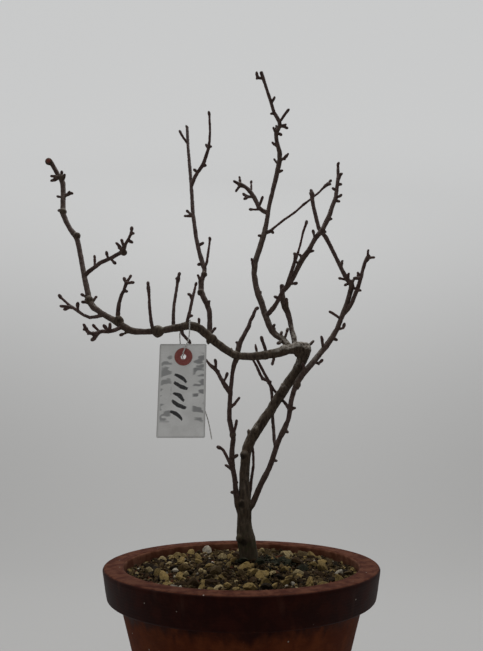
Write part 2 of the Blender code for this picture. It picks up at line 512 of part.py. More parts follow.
def spur_stations(name, radius, points, lean):
    """A spur leaves its stem, thickens into its bud and ends in a point."""
    depth = depth_on(name, *points[0])
    length = sum(math.dist(a, b) for a, b in zip(points, points[1:]))
    stations = []
    run = 0.0
    for i, point in enumerate(points):
        if i:
            run += math.dist(points[i - 1], point)
        centre, scale = seat(*point, depth + lean * run)
        thickness = 1.0 if i < len(points) - 1 else 0.4
        if i == len(points) - 1:
            before = stations[-1][0]
            stations.append((before.lerp(centre, 0.62), radius * scale * 1.08))
        stations.append((centre, radius * scale * thickness))
    return stations


def build_tree(bark):
    """Trunk, limb, shoots and spurs, grown together as one body."""
    chance = random.Random(11)
    parts = new_collection("Tree parts")
    tree = None
    for name, (sides, _) in STEMS.items():
        shape = tube(stem_stations(name), sides)
        if name == "trunk":
            tree = new_object("tree", shape, bark)
        else:
            new_object(name, shape, bark, parts)
        for i, (radius, *points) in enumerate(SPURS.get(name, [])):
            lean = chance.uniform(-0.45, 0.3)
            shape = tube(spur_stations(name, radius, points, lean), SPUR_SIDES)
            new_object(f"{name}_spur_{i}", shape, bark, parts)
    combine(tree, parts, "UNION", "MANIFOLD")
    return tree


def build_pot(clay):
    """A turned clay pot with a deep band at its rim and drain holes in its floor."""
    band_foot = POT_HEIGHT - BAND_HEIGHT
    round_off = 3.0
    inner_lip = RIM_RADIUS - LIP_WIDTH
    profile = [(0, 0), (FOOT_RADIUS - 2, 0), (FOOT_RADIUS, 2)]
    for height in (45.0, 94.0, 109.0):
        share = height / band_foot
        profile.append((FOOT_RADIUS + share * (NECK_RADIUS - 5.0 - FOOT_RADIUS), height))
    profile += [(NECK_RADIUS, band_foot), (BAND_FOOT_RADIUS - 1.5, band_foot),
                (BAND_FOOT_RADIUS, band_foot + 2)]
    for angle in (0, 30, 60, 90):
        turn = math.radians(angle)
        profile.append((RIM_RADIUS - round_off * (1 - math.cos(turn)),
                        POT_HEIGHT - round_off * (1 - math.sin(turn))))
    for angle in (90, 45, 0):
        turn = math.radians(angle)
        profile.append((inner_lip + round_off * (1 - math.cos(turn)),
                        POT_HEIGHT - round_off * (1 - math.sin(turn))))
    profile += [(radius, height) for height, radius in INNER_WALL[-2:0:-1]]
    profile += [(inner_radius(FLOOR) - 4, FLOOR), (0, FLOOR)]
    pot = new_object("pot", lathe(profile, POT_SEGMENTS), clay)
    cutters = new_collection("Drain cutters")
    for i in range(DRAINS):
        angle = math.tau * (i + 0.25) / DRAINS
        centre = (DRAIN_OFFSET * math.cos(angle), DRAIN_OFFSET * math.sin(angle))
        new_object(f"drain_{i}", cylinder(centre, DRAIN_RADIUS, -5, FLOOR + 5, 16), clay, cutters)
    combine(pot, cutters, "DIFFERENCE", "EXACT")
    return pot


def build_screen(plastic):
    """A perforated plastic disc that keeps the grains from the drain holes."""
    bottom = FLOOR + GAP
    screen = new_object("drain_screen", cylinder((0, 0), SCREEN_RADIUS, bottom,
                                                 bottom + SCREEN_THICKNESS, 24), plastic)
    cutters = new_collection("Screen cutters")
    for i in range(DRAINS):
        angle = math.tau * (i + 0.25) / DRAINS
        middle = Vector((DRAIN_OFFSET * math.cos(angle), DRAIN_OFFSET * math.sin(angle)))
        for j in range(SCREEN_PORES):
            turn = angle + math.tau * j / SCREEN_PORES
            spot = middle + 4.4 * Vector((math.cos(turn), math.sin(turn)))
            new_object(f"pore_{i}_{j}", cylinder(spot, SCREEN_HOLE, bottom - 2, bottom + 4, 6),
                       plastic, cutters)
    combine(screen, cutters, "DIFFERENCE", "EXACT")
    return screen


def soil_height(x, y):
    """The soil is mounded to the trunk and has a gentle unevenness."""
    from_trunk = math.hypot(x - TRUNK_X, y)
    edge = POT_HEIGHT - SOIL_EDGE_DROP
    mound = (SOIL_CROWN - edge) * math.exp(-(from_trunk / 62.0) ** 2)
    ripple = 1.1 * math.sin(x / 9.0 + 1.3) * math.cos(y / 11.0) + 0.8 * math.sin((x - y) / 17.0)
    return edge + mound + ripple


def build_soil(grit):
    """Granular soil that fills the pot, its top layer of stones fused to it."""
    bottom = FLOOR + 2 * GAP + SCREEN_THICKNESS
    edge_top = POT_HEIGHT - SOIL_EDGE_DROP - 3
    heights = [bottom + 3, INNER_WALL[2][0], edge_top]
    side = [(0, bottom), (inner_radius(bottom) - 4 - SOIL_CLEARANCE, bottom)]
    side += [(inner_radius(height) - SOIL_CLEARANCE, height) for height in heights]
    top_radius = side[-1][0]
    for i in range(1, SOIL_RINGS + 1):
        side.append((top_radius * (1 - i / SOIL_RINGS), edge_top + 1))
    shape = lathe(side, SOIL_SEGMENTS)
    for vert in shape.verts:
        if vert.co.z > edge_top:
            vert.co.z = soil_height(vert.co.x, vert.co.y)
    soil = new_object("soil", shape, grit)

    chance = random.Random(5)
    stones = new_collection("Stones")
    spots = []
    tries = 0
    while len(spots) < STONES and tries < 20000:
        tries += 1
        size = chance.uniform(*STONE_SIZES) * (1.5 if chance.random() < 0.05 else 1.0)
        reach = (top_radius - size - 1.0) * math.sqrt(chance.random())
        angle = chance.uniform(0, math.tau)
        spot = Vector((reach * math.cos(angle), reach * math.sin(angle)))
        if any((spot - other).length < 0.8 * (size + wide) for other, wide in spots):
            continue
        if (spot - Vector((TRUNK_X, 0))).length < TRUNK_HOLE + 0.2 * size:
            continue
        spots.append((spot, size))
        stone = bmesh.new()
        bmesh.ops.create_icosphere(stone, subdivisions=1, radius=size)
        squash = Matrix.Diagonal((1.0, chance.uniform(0.7, 0.95), chance.uniform(0.6, 0.85), 1.0))
        turn = Matrix.Rotation(chance.uniform(0, math.tau), 4, Vector((
            chance.uniform(-1, 1), chance.uniform(-1, 1), 1.5)).normalized())
        lift = soil_height(*spot) - size * chance.uniform(0.0, 0.25)
        place = Matrix.Translation((spot.x, spot.y, lift))
        bmesh.ops.transform(stone, matrix=place @ turn @ squash, verts=stone.verts[:])
        new_object(f"stone_{len(spots)}", stone, grit, stones)
    combine(soil, stones, "UNION", "MANIFOLD")

    hole = new_collection("Trunk hole")
    new_object("hole", cylinder((TRUNK_X, 0), TRUNK_HOLE, TRUNK_FOOT - 5, 200, 24),
               grit, hole)
    combine(soil, hole, "DIFFERENCE", "MANIFOLD")
    return soil


def upright_plate(outline, back, front):
    """Extrudes an (x, z) outline between two depths."""
    shape = bmesh.new()
    near = [shape.verts.new((x, front, z)) for x, z in outline]
    far = [shape.verts.new((x, back, z)) for x, z in outline]
    shape.faces.new(near)
    shape.faces.new(far[::-1])
    for i in range(len(outline)):
        j = (i + 1) % len(outline)
        shape.faces.new([near[i], far[i], far[j], near[j]])
    return shape


def circle_outline(radius, sides):
    return [(EYELET.x + radius * math.cos(math.tau * i / sides),
             EYELET.z + radius * math.sin(math.tau * i / sides)) for i in range(sides)]


def cut_eyelet(item, material):
    cutters = new_collection("Eyelet cutter")
    new_object("eyelet", upright_plate(circle_outline(EYELET_HOLE, 16), TAG_DEPTH + 4, TAG_DEPTH - 4),
               material, cutters)
    combine(item, cutters, "DIFFERENCE", "EXACT")


def build_tag(card, red_paper):
    """A card tag with a red paper ring round its eyelet on each face."""
    right = TAG_LEFT + TAG_WIDTH
    bottom = TAG_TOP - TAG_HEIGHT
    corners = [(right, TAG_TOP, 0), (TAG_LEFT, TAG_TOP, 90), (TAG_LEFT, bottom, 180), (right, bottom, 270)]
    outline = []
    for x, z, start in corners:
        toward_x = TAG_CORNER if x == TAG_LEFT else -TAG_CORNER
        toward_z = TAG_CORNER if z == bottom else -TAG_CORNER
        for angle in (start, start + 45, start + 90):
            turn = math.radians(angle)
            outline.append((x + toward_x + TAG_CORNER * math.cos(turn),
                            z + toward_z + TAG_CORNER * math.sin(turn)))
    half = TAG_THICKNESS / 2
    tag = new_object("tag", upright_plate(outline, TAG_DEPTH + half, TAG_DEPTH - half), card)
    cut_eyelet(tag, card)
    for name, side in (("tag_ring_front", -1), ("tag_ring_back", 1)):
        inner = TAG_DEPTH + side * (half + RING_GAP)
        outer = inner + side * RING_THICKNESS
        ring = new_object(name, upright_plate(circle_outline(RING_RADIUS, 32),
                                              max(inner, outer), min(inner, outer)), red_paper)
        cut_eyelet(ring, red_paper)


def over_limb(angle):
    """Where the string lies on the limb: 0 is behind it, 90 on top, 180 in front.

    It crosses the top to the right of a shoot and slants away behind it.
    """
    share = min(1.0, 0.05 + 0.95 * angle / 90.0)
    behind, scale_behind = seat(-68.5, 392.2, -40)
    front, scale_front = seat(-57.5, 393.8, -38)
    centre = behind.lerp(front, share)
    radius = (1 - share) * 4.2 * scale_behind + share * 4.8 * scale_front
    reach = radius + STRING_DIAMETER / 2 + GAP + (SLANT_SLACK if 0 <= angle <= 90 else 0.0)
    turn = math.radians(angle)
    return centre + reach * Vector((0, math.cos(turn), math.sin(turn)))


def string_route():
    """Tail behind the tag, up and over the limb, down and through the eyelet."""
    tail = [(-29.5, -36.3, 268.3), (-31.0, -36.4, 276), (-33.2, -36.6, 286), (-36.5, -36.9, 296),
            (-41.5, -37.1, 308), (-47.5, -37.2, 321), (-53.5, -37.1, 334), (-58.6, -36.9, 345.5),
            (-62.0, -36.6, 355), (-63.6, -35.7, 366), (-64.4, -35.0, 375)]
    drop = [(-53.6, -43.6, 375), (-54.6, -43.2, 367.5), (-57.2, -42.8, 361)]
    turn_radius = 2.5
    turn_centre = EYELET + Vector((0, 0, EYELET_HOLE - EYELET_SLACK - STRING_DIAMETER / 2 + turn_radius))
    route = [Vector(point) for point in tail]
    route += [over_limb(angle) for angle in range(0, 181, 30)]
    route += [Vector(point) for point in drop]
    for angle in range(180, 361, 45):
        turn = math.radians(angle)
        route.append(turn_centre + turn_radius * Vector((0, math.cos(turn), math.sin(turn))))
    route.append(turn_centre + Vector((0.2, turn_radius + 0.2, 3.4)))
    return smooth_route(route, STRING_STEP)


def build_string(twine):
    curve = bpy.data.curves.new("tag_string", "CURVE")
    curve.dimensions = "3D"
    curve.bevel_depth = STRING_DIAMETER / 2 * MM
    curve.bevel_resolution = 2
    curve.use_fill_caps = True
    spline = curve.splines.new("POLY")
    route = string_route()
    spline.points.add(len(route) - 1)
    for slot, point in zip(spline.points, route):
        slot.co = (*(point * MM), 1.0)
    curve.materials.append(twine)
    string = bpy.data.objects.new("tag_string", curve)
    bpy.context.scene.collection.objects.link(string)


def main():
    clear_scene()
    bark = paint("Bark", BARK, 0.8)
    build_pot(paint("Clay", CLAY, 0.72))
    build_screen(paint("Black plastic", BLACK_PLASTIC, 0.5))
    build_soil(paint("Soil", SOIL, 0.95))
    build_tree(bark)
    build_tag(paint("Card", CARD, 0.6), paint("Red paper", RED_PAPER, 0.7))
    build_string(paint("Twine", TWINE, 0.9))


main()
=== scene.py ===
"""Looks of a bare crabapple bonsai in a clay pot, with a card tag on its low limb.

The file is laid out as an add-on and run as a script. Its settings and the frame
are in metres; all other lengths are in millimetres unless a line says otherwise.
"""

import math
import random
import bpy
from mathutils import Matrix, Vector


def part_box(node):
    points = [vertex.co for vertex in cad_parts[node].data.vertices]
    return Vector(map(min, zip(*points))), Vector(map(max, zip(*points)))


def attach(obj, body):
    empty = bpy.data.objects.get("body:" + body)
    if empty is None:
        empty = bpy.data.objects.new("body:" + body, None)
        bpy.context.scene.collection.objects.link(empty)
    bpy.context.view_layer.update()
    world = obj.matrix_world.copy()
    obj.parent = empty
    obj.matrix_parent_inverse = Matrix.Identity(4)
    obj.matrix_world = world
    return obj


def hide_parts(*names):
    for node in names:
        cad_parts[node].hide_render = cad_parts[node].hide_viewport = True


bl_info = {
    "name": "Potted Crabapple Bonsai",
    "version": (1, 0, 0),
    "blender": (4, 5, 0),
    "location": "View3D > Sidebar > Bonsai",
    "description": "Dresses a bare crabapple bonsai in a clay pot",
    "category": "Add Mesh",
}

import bpy
import numpy as np
from mathutils import Matrix, Vector, noise
from mathutils.bvhtree import BVHTree
from mathutils.kdtree import KDTree

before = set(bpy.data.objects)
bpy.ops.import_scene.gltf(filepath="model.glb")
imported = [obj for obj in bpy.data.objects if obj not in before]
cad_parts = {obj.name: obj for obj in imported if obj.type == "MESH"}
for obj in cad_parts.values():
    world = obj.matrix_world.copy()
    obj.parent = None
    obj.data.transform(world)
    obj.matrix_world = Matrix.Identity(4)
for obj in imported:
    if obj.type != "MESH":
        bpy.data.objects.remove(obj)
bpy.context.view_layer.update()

MM = 0.001
BODY = "root"

# The eye in front of the trunk, its pitch in degrees and its lens
EYE_DISTANCE = 564.2
EYE_HEIGHT = 252.1
EYE = Vector((0.0, -EYE_DISTANCE, EYE_HEIGHT))
EYE_PITCH = 14.115
LENS = 28.76

# Pot. Its walls are points of height and radius
POT_HEIGHT = 150.0
RIM_RADIUS = 135.0
BAND_HEIGHT = 27.0
BAND_FOOT_RADIUS = 130.0
BAND_WALL = [(131.0, 131.6), (139.0, 133.2), (145.6, 134.6)]
NECK_RADIUS = 118.5
FOOT_RADIUS = 80.0
LIP_WIDTH = 20.0
FLOOR = 10.0
FLOOR_COVE = 4.0
INNER_WALL = [(0.0, 68.0), (FLOOR + FLOOR_COVE, 72.6), (122.0, 108.6), (139.0, 115.0), (147.0, 115.2)]
DRAIN_RADIUS = 7.0
DRAIN_OFFSET = 36.0
DRAINS = 3
# Radius of each of the pot's rounded edges
FOOT_EDGE = 2.0
NECK_COVE = 2.0
BAND_EDGE = 1.8
RIM_EDGE = 2.4
INNER_EDGE = 2.8

# Soil and the hole that the trunk stands in
SOIL_BOTTOM = 11.8
SOIL_EDGE = 139.5
SOIL_CROWN = 150.5
SOIL_CLEARANCE = 0.6
TRUNK_X = 8.0
TRUNK_RADIUS = 9.6
TRUNK_HOLE = 10.3
TRUNK_FOOT = 107.0

# Tag and string. The tag's middle is its X and Z
TAG_DEPTH = -40.0
TAG_MIDDLE = (-60.0, 316.95)
TAG_HALF_WIDTH = 24.0
TAG_HALF_HEIGHT = 47.3
TAG_THICKNESS = 0.6
TAG_CORNER = 1.5
EYELET = Vector((-59.4, TAG_DEPTH, 350.9))
EYELET_HOLE = 2.75
EYELET_SLACK = 0.8
STRING_DIAMETER = 1.2
SLANT_SLACK = 0.45
GAP = 0.3


def maths(operation):
    """A method of Sock that adds one Math node."""
    def add_node(self, *others):
        sockets = dict(enumerate((self, *others)))
        return self.graph.add("ShaderNodeMath", {"operation": operation}, sockets)
    return add_node


class Sock:
    """A shader socket that takes part in Python arithmetic."""
    __add__ = __radd__ = maths("ADD")
    __sub__ = maths("SUBTRACT")
    __mul__ = __rmul__ = maths("MULTIPLY")
    __pow__ = maths("POWER")
    __abs__ = maths("ABSOLUTE")
    sine = maths("SINE")
    most = maths("MAXIMUM")
    least = maths("MINIMUM")

    def __init__(self, graph, socket):
        self.graph = graph
        self.socket = socket

    def __rsub__(self, other):
        return (self * -1.0) + other

    def rise(self, low, high):
        """A smooth mask: 0 below low, 1 above high."""
        return self.graph.add(
            "ShaderNodeMapRange", {"interpolation_type": "SMOOTHSTEP"},
            {"Value": self, "From Min": low, "From Max": high})

    def fall(self, low, high):
        return 1.0 - self.rise(low, high)

    def between(self, start, full, fading, end):
        """A smooth mask: 1 from full to fading, 0 before start and past end."""
        return self.rise(start, full) * self.fall(fading, end)


def strongest(masks):
    first, *others = masks
    for mask in others:
        first = first.most(mask)
    return first


class Graph:
    """The nodes of one material."""

    def __init__(self, name):
        self.material = bpy.data.materials.new(name)
        self.material.use_nodes = True
        self.tree = self.material.node_tree
        self.shader = self.tree.nodes["Principled BSDF"]
        self.place = self.add("ShaderNodeTexCoord", output="Object")

    def feed(self, socket, value):
        if isinstance(value, Sock):
            self.tree.links.new(value.socket, socket)
        elif socket.type == "RGBA":
            socket.default_value = (*value, 1.0)
        else:
            socket.default_value = value

    def add(self, kind, settings=None, sockets=None, output=0):
        node = self.tree.nodes.new(kind)
        for key, value in (settings or {}).items():
            setattr(node, key, value)
        for key, value in (sockets or {}).items():
            self.feed(node.inputs[key], value)
        return Sock(self, node.outputs[output])

    def axis(self, letter):
        """One Object coordinate."""
        return self.add("ShaderNodeSeparateXYZ", None, {0: self.place}, letter) * (1 / MM)

    def facing(self, letter):
        """How far the surface faces along one axis, from -1 to 1."""
        normal = self.add("ShaderNodeNewGeometry", output="Normal")
        return self.add("ShaderNodeSeparateXYZ", None, {0: normal}, letter)

    def from_point(self, x, z):
        """Squared distance from a point, as the front shows it."""
        return (self.axis("X") - x) ** 2.0 + (self.axis("Z") - z) ** 2.0

    def stretched(self, scale, turn=0.0):
        return self.add("ShaderNodeMapping", None, {
            "Vector": self.place, "Rotation": (0.0, turn, 0.0), "Scale": scale})

    def noise(self, size, detail=3.0, roughness=0.55, place=None):
        return self.add("ShaderNodeTexNoise", None, {
            "Vector": place or self.place, "Scale": 1 / (size * MM),
            "Detail": detail, "Roughness": roughness})

    def cells(self, size, output="Distance", place=None):
        return self.add("ShaderNodeTexVoronoi", None, {
            "Vector": place or self.place, "Scale": 1 / (size * MM)}, output)

    def own(self, name, output="Fac"):
        """A value that the mesh carries at each vertex."""
        return self.add("ShaderNodeAttribute", {"attribute_name": name}, None, output)

    def mix(self, share, first, second):
        return self.add("ShaderNodeMix", {"data_type": "RGBA"}, {0: share, 6: first, 7: second}, 2)

    def coated(self, colour, *coats):
        """Lays coats over a colour, each with the share that it covers and its own colour."""
        for share, tone in coats:
            colour = self.mix(share, colour, tone)
        return colour

    def finish(self, colour, roughness, height=None, depth=0.2, strength=0.6, specular=0.4):
        self.feed(self.shader.inputs["Base Color"], colour)
        self.feed(self.shader.inputs["Roughness"], roughness)
        self.shader.inputs["Specular IOR Level"].default_value = specular
        if height is not None:
            normal = self.add("ShaderNodeBump", None, {
                "Height": height, "Distance": depth * MM, "Strength": strength})
            self.feed(self.shader.inputs["Normal"], normal)
        return self.material


BRIGHT_CLAY = (0.112, 0.028, 0.009)
BURNT_CLAY = (0.055, 0.017, 0.008)
# Near-black band clay: damp clay darkened further as painted shade
SOAKED_SHADED_CLAY = (0.026, 0.0042, 0.0018)
DARK_LIP = (0.045, 0.0095, 0.0042)
RUBBED_LIP = (0.098, 0.034, 0.018)
INNER_CLAY = (0.080, 0.026, 0.013)
PALE_INNER_CLAY = (0.150, 0.062, 0.036)
SALT_BLOOM = (0.170, 0.085, 0.060)
PALE_SPECK = (0.40, 0.35, 0.30)
FINE_SPECK = (0.26, 0.17, 0.12)
# Darker tone of the inner wall below the lip, towards the soil
LOW_INNER_WALL_TONE = (0.050, 0.026, 0.015)
# Height at which the dark band begins, damp clay made darker still as painted shade, before drips and
# patches raise it
WET_SHADE_EDGE = 96.0


def clay_finish(settings):
    """Red clay, dark at the band and the wall under it, partly from damp and partly as painted shade, and
    rubbed dry on the lip.
    """
    g = Graph("Damp clay")
    up = g.axis("Z")
    broad = g.noise(55, 4)
    patch = g.noise(14, 5, 0.6)
    grain = g.noise(1.2, 4, 0.7)
    drips = g.noise(11, 3, 0.5, g.stretched((1.0, 1.0, 0.2)))
    dry = g.coated(tuple(settings.clay), (patch.rise(0.35, 0.7), BRIGHT_CLAY),
                   (broad.rise(0.45, 0.7) * 0.5, BURNT_CLAY))
    # The band's colour: damp clay, darkened further as painted shade of a band facing away from the light
    soaked_shaded = g.mix(patch.rise(0.4, 0.65), tuple(settings.damp_shaded_clay), SOAKED_SHADED_CLAY)
    # Mask of the dark band and upper wall: damp, and painted shade under the rim
    wet_and_shaded = (up - (WET_SHADE_EDGE + drips * 34.0 + patch * 8.0)).rise(-9.0, 7.0)
    lip = up.rise(POT_HEIGHT - 0.8, POT_HEIGHT - 0.2)
    lip_clay = g.mix(g.noise(9, 4, 0.65).rise(0.36, 0.62), DARK_LIP, RUBBED_LIP)
    inside = g.own("inside")
    inner_clay = g.mix(patch.rise(0.4, 0.65), INNER_CLAY, PALE_INNER_CLAY)
    bloom = up.rise(118, 150) * drips.rise(0.56, 0.74) * (1.0 - lip) * 0.10
    chosen = g.add("ShaderNodeSeparateColor", None, {0: g.cells(9.5, "Color")}, "Red")
    speck = g.cells(9.5).fall(0.045, 0.085) * chosen.rise(0.70, 0.72) * up.rise(60, 90) * (1.0 - inside)
    fine = g.cells(3.1).fall(0.06, 0.13) * grain.rise(0.5, 0.6) * (0.35 - wet_and_shaded * 0.25)
    # Darker on the inner wall below the lip, towards the soil
    inner_wall_darkening = inside * up.fall(139, 147) * patch.rise(0.3, 0.6) * 0.4
    colour = g.coated(dry, (wet_and_shaded, soaked_shaded), (lip, lip_clay), (inside, inner_clay), (bloom, SALT_BLOOM),
                      (speck * 0.75, PALE_SPECK), (fine, FINE_SPECK), (inner_wall_darkening, LOW_INNER_WALL_TONE))
    rings = ((up * 2.6 + g.noise(30, 2) * 9.0).sine() * 0.5 + 0.5) * (1.0 - lip)
    height = grain * 0.45 + patch * 0.4 + rings * 0.3 + speck * 0.6
    roughness = 0.72 - wet_and_shaded * 0.24 + patch * 0.16 + lip * 0.25 + inside * 0.2
    return g.finish(colour, roughness.least(0.95), height, depth=0.3, strength=0.45, specular=0.06)


GRAIN_DUST = (0.040, 0.027, 0.014)
GRAIN_PORE = (0.018, 0.012, 0.007)
GRAIN_CHALK = (0.30, 0.25, 0.16)
WET_FINES = (0.009, 0.006, 0.003)
DRY_FINES = (0.036, 0.022, 0.010)


def grain_finish():
    """Grains of pumice, lava and clay. Each grain carries its own colour."""
    g = Graph("Mixed grit")
    dust = g.noise(2.4, 4, 0.65)
    pores = g.cells(0.9).fall(0.18, 0.42)
    chalk = g.noise(5, 2).rise(0.6, 0.75)
    colour = g.coated(g.own("grain_colour", "Color"), (dust.rise(0.48, 0.70) * 0.6, GRAIN_DUST),
                      (pores * 0.45, GRAIN_PORE), (chalk * 0.3, GRAIN_CHALK))
    height = dust * 0.6 + (1.0 - pores) * 0.5
    return g.finish(colour, 0.9, height, depth=0.9, strength=0.9, specular=0.1)


def bed_finish():
    """Dark, damp fines between the grains."""
    g = Graph("Damp fines")
    colour = g.mix(g.noise(4, 4).rise(0.4, 0.65), WET_FINES, DRY_FINES)
    return g.finish(colour, 0.95, 1.0 - g.cells(2.1), depth=1.0, strength=0.9, specular=0.2)


RED_TWIG = (0.040, 0.020, 0.016)
DUSTY_TWIG = (0.092, 0.058, 0.050)
TAN_BARK = (0.118, 0.088, 0.062)
# Pale flaking bark, partly painted top light on upward faces
FLAKED_BARK_AND_TOP_LIGHT = (0.290, 0.262, 0.222)
# Weathered pale bark at the elbow, partly painted top light
BLEACHED_BARK_AND_TOP_LIGHT = (0.430, 0.395, 0.345)
STAINED_BARK = (0.085, 0.052, 0.030)
DAMP_BARK = (0.062, 0.047, 0.027)
SHADED_BARK = (0.016, 0.011, 0.007)
LENTICEL = (0.270, 0.205, 0.140)
CRACK = (0.018, 0.012, 0.009)
TRUNK_MOSS = (0.058, 0.058, 0.026)
SCAR = (0.014, 0.010, 0.007)
BUD_SCALE = (0.078, 0.026, 0.021)
HEARTWOOD = (0.120, 0.030, 0.022)
PALE_HEARTWOOD = (0.190, 0.070, 0.050)
# Dark scars on the front of the trunk: X, Z and radius
SCARS = [(2.3, 168.5, 4.2), (0.5, 204.3, 4.4), (0.8, 251.6, 3.6), (36.2, 336.8, 3.6)]
# X and Z of the pale elbow where the low limb leaves the trunk, weathered pale and painted lighter on its
# upper side as top light
ELBOW = (60.0, 369.0)


def bark_finish(settings):
    """Brown bark with pale, flaking upper sides that are partly painted top light, painted shade on the
    undersides of old wood, redder on young wood and mossy at the foot.
    """
    g = Graph("Crabapple bark")
    girth = g.own("girth")
    up = g.axis("Z")
    faces_up = g.facing("Z").rise(-0.35, 0.9)
    old = girth.rise(3.2, 9.5)
    mottled = g.noise(5.0, 5, 0.65)
    fibre = g.noise(2.2, 4, 0.6, g.stretched((1.0, 1.0, 0.28)))
    young_wood = g.mix(mottled.rise(0.35, 0.65), RED_TWIG, DUSTY_TWIG)
    old_wood = g.mix(fibre.rise(0.38, 0.66), tuple(settings.bark), TAN_BARK)
    # Pale flakes only on upward faces: flaking bark and painted top light
    flaked_and_top_lit = g.noise(7, 5, 0.7).rise(0.44, 0.62) * faces_up * faces_up * (0.20 + old * 0.8)
    # Paler near the elbow on upward faces only: weathered bark and painted top light
    bleached_and_top_lit = g.from_point(*ELBOW).fall(120.0, 900.0) * g.noise(4, 4, 0.6).rise(0.38, 0.58)
    stain = g.noise(13, 4, 0.65).rise(0.52, 0.68) * old
    dashes = g.cells(2.6, place=g.stretched((1.0, 1.0, 2.4)))
    lenticel = dashes.fall(0.10, 0.17) * girth.rise(2.6, 4.5) * 0.65
    crack = fibre.fall(0.30, 0.43) * old
    foot = up.fall(158, 205)
    moss = foot * g.noise(4, 4, 0.7).rise(0.48, 0.60)
    scar = strongest(g.from_point(x, z).fall(0.2 * radius ** 2, radius ** 2) for x, z, radius in SCARS)
    heart = g.mix(g.noise(1.1, 3).rise(0.4, 0.6), HEARTWOOD, PALE_HEARTWOOD)
    colour = g.coated(
        g.mix(old, young_wood, old_wood), (flaked_and_top_lit, FLAKED_BARK_AND_TOP_LIGHT),
        (bleached_and_top_lit * faces_up.rise(0.0, 0.35) * 0.9, BLEACHED_BARK_AND_TOP_LIGHT), (stain * 0.6, STAINED_BARK),
        (lenticel, LENTICEL), (crack * 0.75, CRACK), (foot * 0.62, DAMP_BARK), (moss * 0.75, TRUNK_MOSS),
        (scar * mottled.rise(0.25, 0.5) * 0.85, SCAR), ((1.0 - faces_up) * 0.35 * old, SHADED_BARK),
        (g.own("bud") * 0.6, BUD_SCALE), (g.own("cut_end"), heart))
    height = fibre * (0.35 + old * 0.75) + g.noise(0.7, 3, 0.6) * 0.25 + lenticel * 0.4 + mottled * 0.3
    return g.finish(colour, 0.62 + old * 0.22, height, depth=0.5, strength=0.85, specular=0.18)


WHITE_CARD = (0.88, 0.88, 0.87)
GREY_FIBRE = (0.60, 0.595, 0.58)
DIRTY_EDGE = (0.24, 0.235, 0.22)
SMUDGE = (0.150, 0.152, 0.158)
INK = (0.012, 0.012, 0.014)
# Pen strokes on the card: X and Z of the middle, half length, half width, lean in degrees, bend
PEN_STROKES = [
    ((-61.0, 329.6), 7.4, 1.9, -33, 1.4), ((-61.6, 320.6), 8.0, 2.1, -27, -1.3),
    ((-62.4, 311.0), 7.0, 2.0, -36, 1.5), ((-63.2, 301.8), 8.2, 2.1, -29, -1.2),
    ((-64.4, 292.4), 7.4, 1.9, -34, 1.4)]
# Where the smudges begin, are full, start to fade and end: two strips of X, and their Z
LEFT_SMUDGES = (-82.5, -80.5, -72.5, -69.5)
RIGHT_SMUDGES = (-50.5, -47.5, -38.8, -37.4)
SMUDGE_HEIGHTS = (283, 288, 351, 357)


def pen_bar(across, up, centre, half_length, half_width, lean, bend):
    """A pen stroke on the card: a bent bar, thinner and softer at its ends."""
    turn = math.radians(lean)
    x = across - centre[0]
    z = up - centre[1]
    along = (x * math.cos(turn) + z * math.sin(turn)) * (1 / half_length)
    over = z * math.cos(turn) - x * math.sin(turn) + along * along * bend
    inside_width = (half_width * (1.0 - 0.4 * along * along) - abs(over)).rise(-0.12, 0.16)
    return inside_width * abs(along).fall(0.92, 1.06)


def card_finish(settings):
    """Weathered grey card with plain pen strokes and faint smudges on its front."""
    g = Graph("Weathered card")
    across = g.axis("X")
    up = g.axis("Z")
    stain = g.noise(22, 5, 0.6)
    fibre = g.noise(0.8, 4, 0.7)
    edge_x = abs(across - TAG_MIDDLE[0]).rise(TAG_HALF_WIDTH - 2.4, TAG_HALF_WIDTH)
    edge_z = abs(up - TAG_MIDDLE[1]).rise(TAG_HALF_HEIGHT - 2.7, TAG_HALF_HEIGHT)
    drawn_x = across + (g.noise(5, 3) - 0.5) * 2.6
    drawn_z = up + (g.noise(7, 3) - 0.5) * 2.2
    ink = strongest(pen_bar(drawn_x, drawn_z, *stroke) for stroke in PEN_STROKES)
    dry = g.noise(1.3, 3).rise(0.30, 0.42)
    ink = ink * (0.7 + dry * 0.3) * g.facing("Y").fall(-0.7, -0.5)
    slanted = g.stretched((0.55, 1.0, 1.25), math.radians(32))
    dabs = g.noise(5.6, 1.0, 0.4, slanted).rise(0.50, 0.60)
    strips = (across.between(*LEFT_SMUDGES) * 0.85).most(across.between(*RIGHT_SMUDGES))
    smudge = dabs * strips * up.between(*SMUDGE_HEIGHTS) * (0.55 + stain * 0.7)
    colour = g.coated(
        tuple(settings.card), (stain.rise(0.35, 0.7), WHITE_CARD),
        (fibre.rise(0.5, 0.75) * 0.35, GREY_FIBRE), (edge_x.most(edge_z) * 0.45, DIRTY_EDGE),
        (smudge * 0.8, SMUDGE), (ink * 0.96, INK))
    return g.finish(colour, 0.62, fibre + stain * 0.6, depth=0.08, strength=0.35, specular=0.35)


BRICK_RED = (0.250, 0.058, 0.050)
FADED_RED = (0.350, 0.108, 0.092)
WORN_RED = (0.33, 0.20, 0.17)


def ring_finish():
    """Faded brick-red paper, worn pale at its rims."""
    g = Graph("Red paper")
    reach = g.from_point(EYELET.x, EYELET.z) ** 0.5
    fibre = g.noise(0.9, 4, 0.7)
    worn = reach.rise(8.2, 9.2).most(reach.fall(2.8, 3.8)) * g.noise(2, 3).rise(0.35, 0.6)
    colour = g.coated(BRICK_RED, (fibre.rise(0.38, 0.66), FADED_RED), (worn * 0.7, WORN_RED))
    return g.finish(colour, 0.7, fibre, depth=0.06, strength=0.4)


GREY_COTTON = (0.50, 0.49, 0.46)
PALE_COTTON = (0.80, 0.79, 0.76)
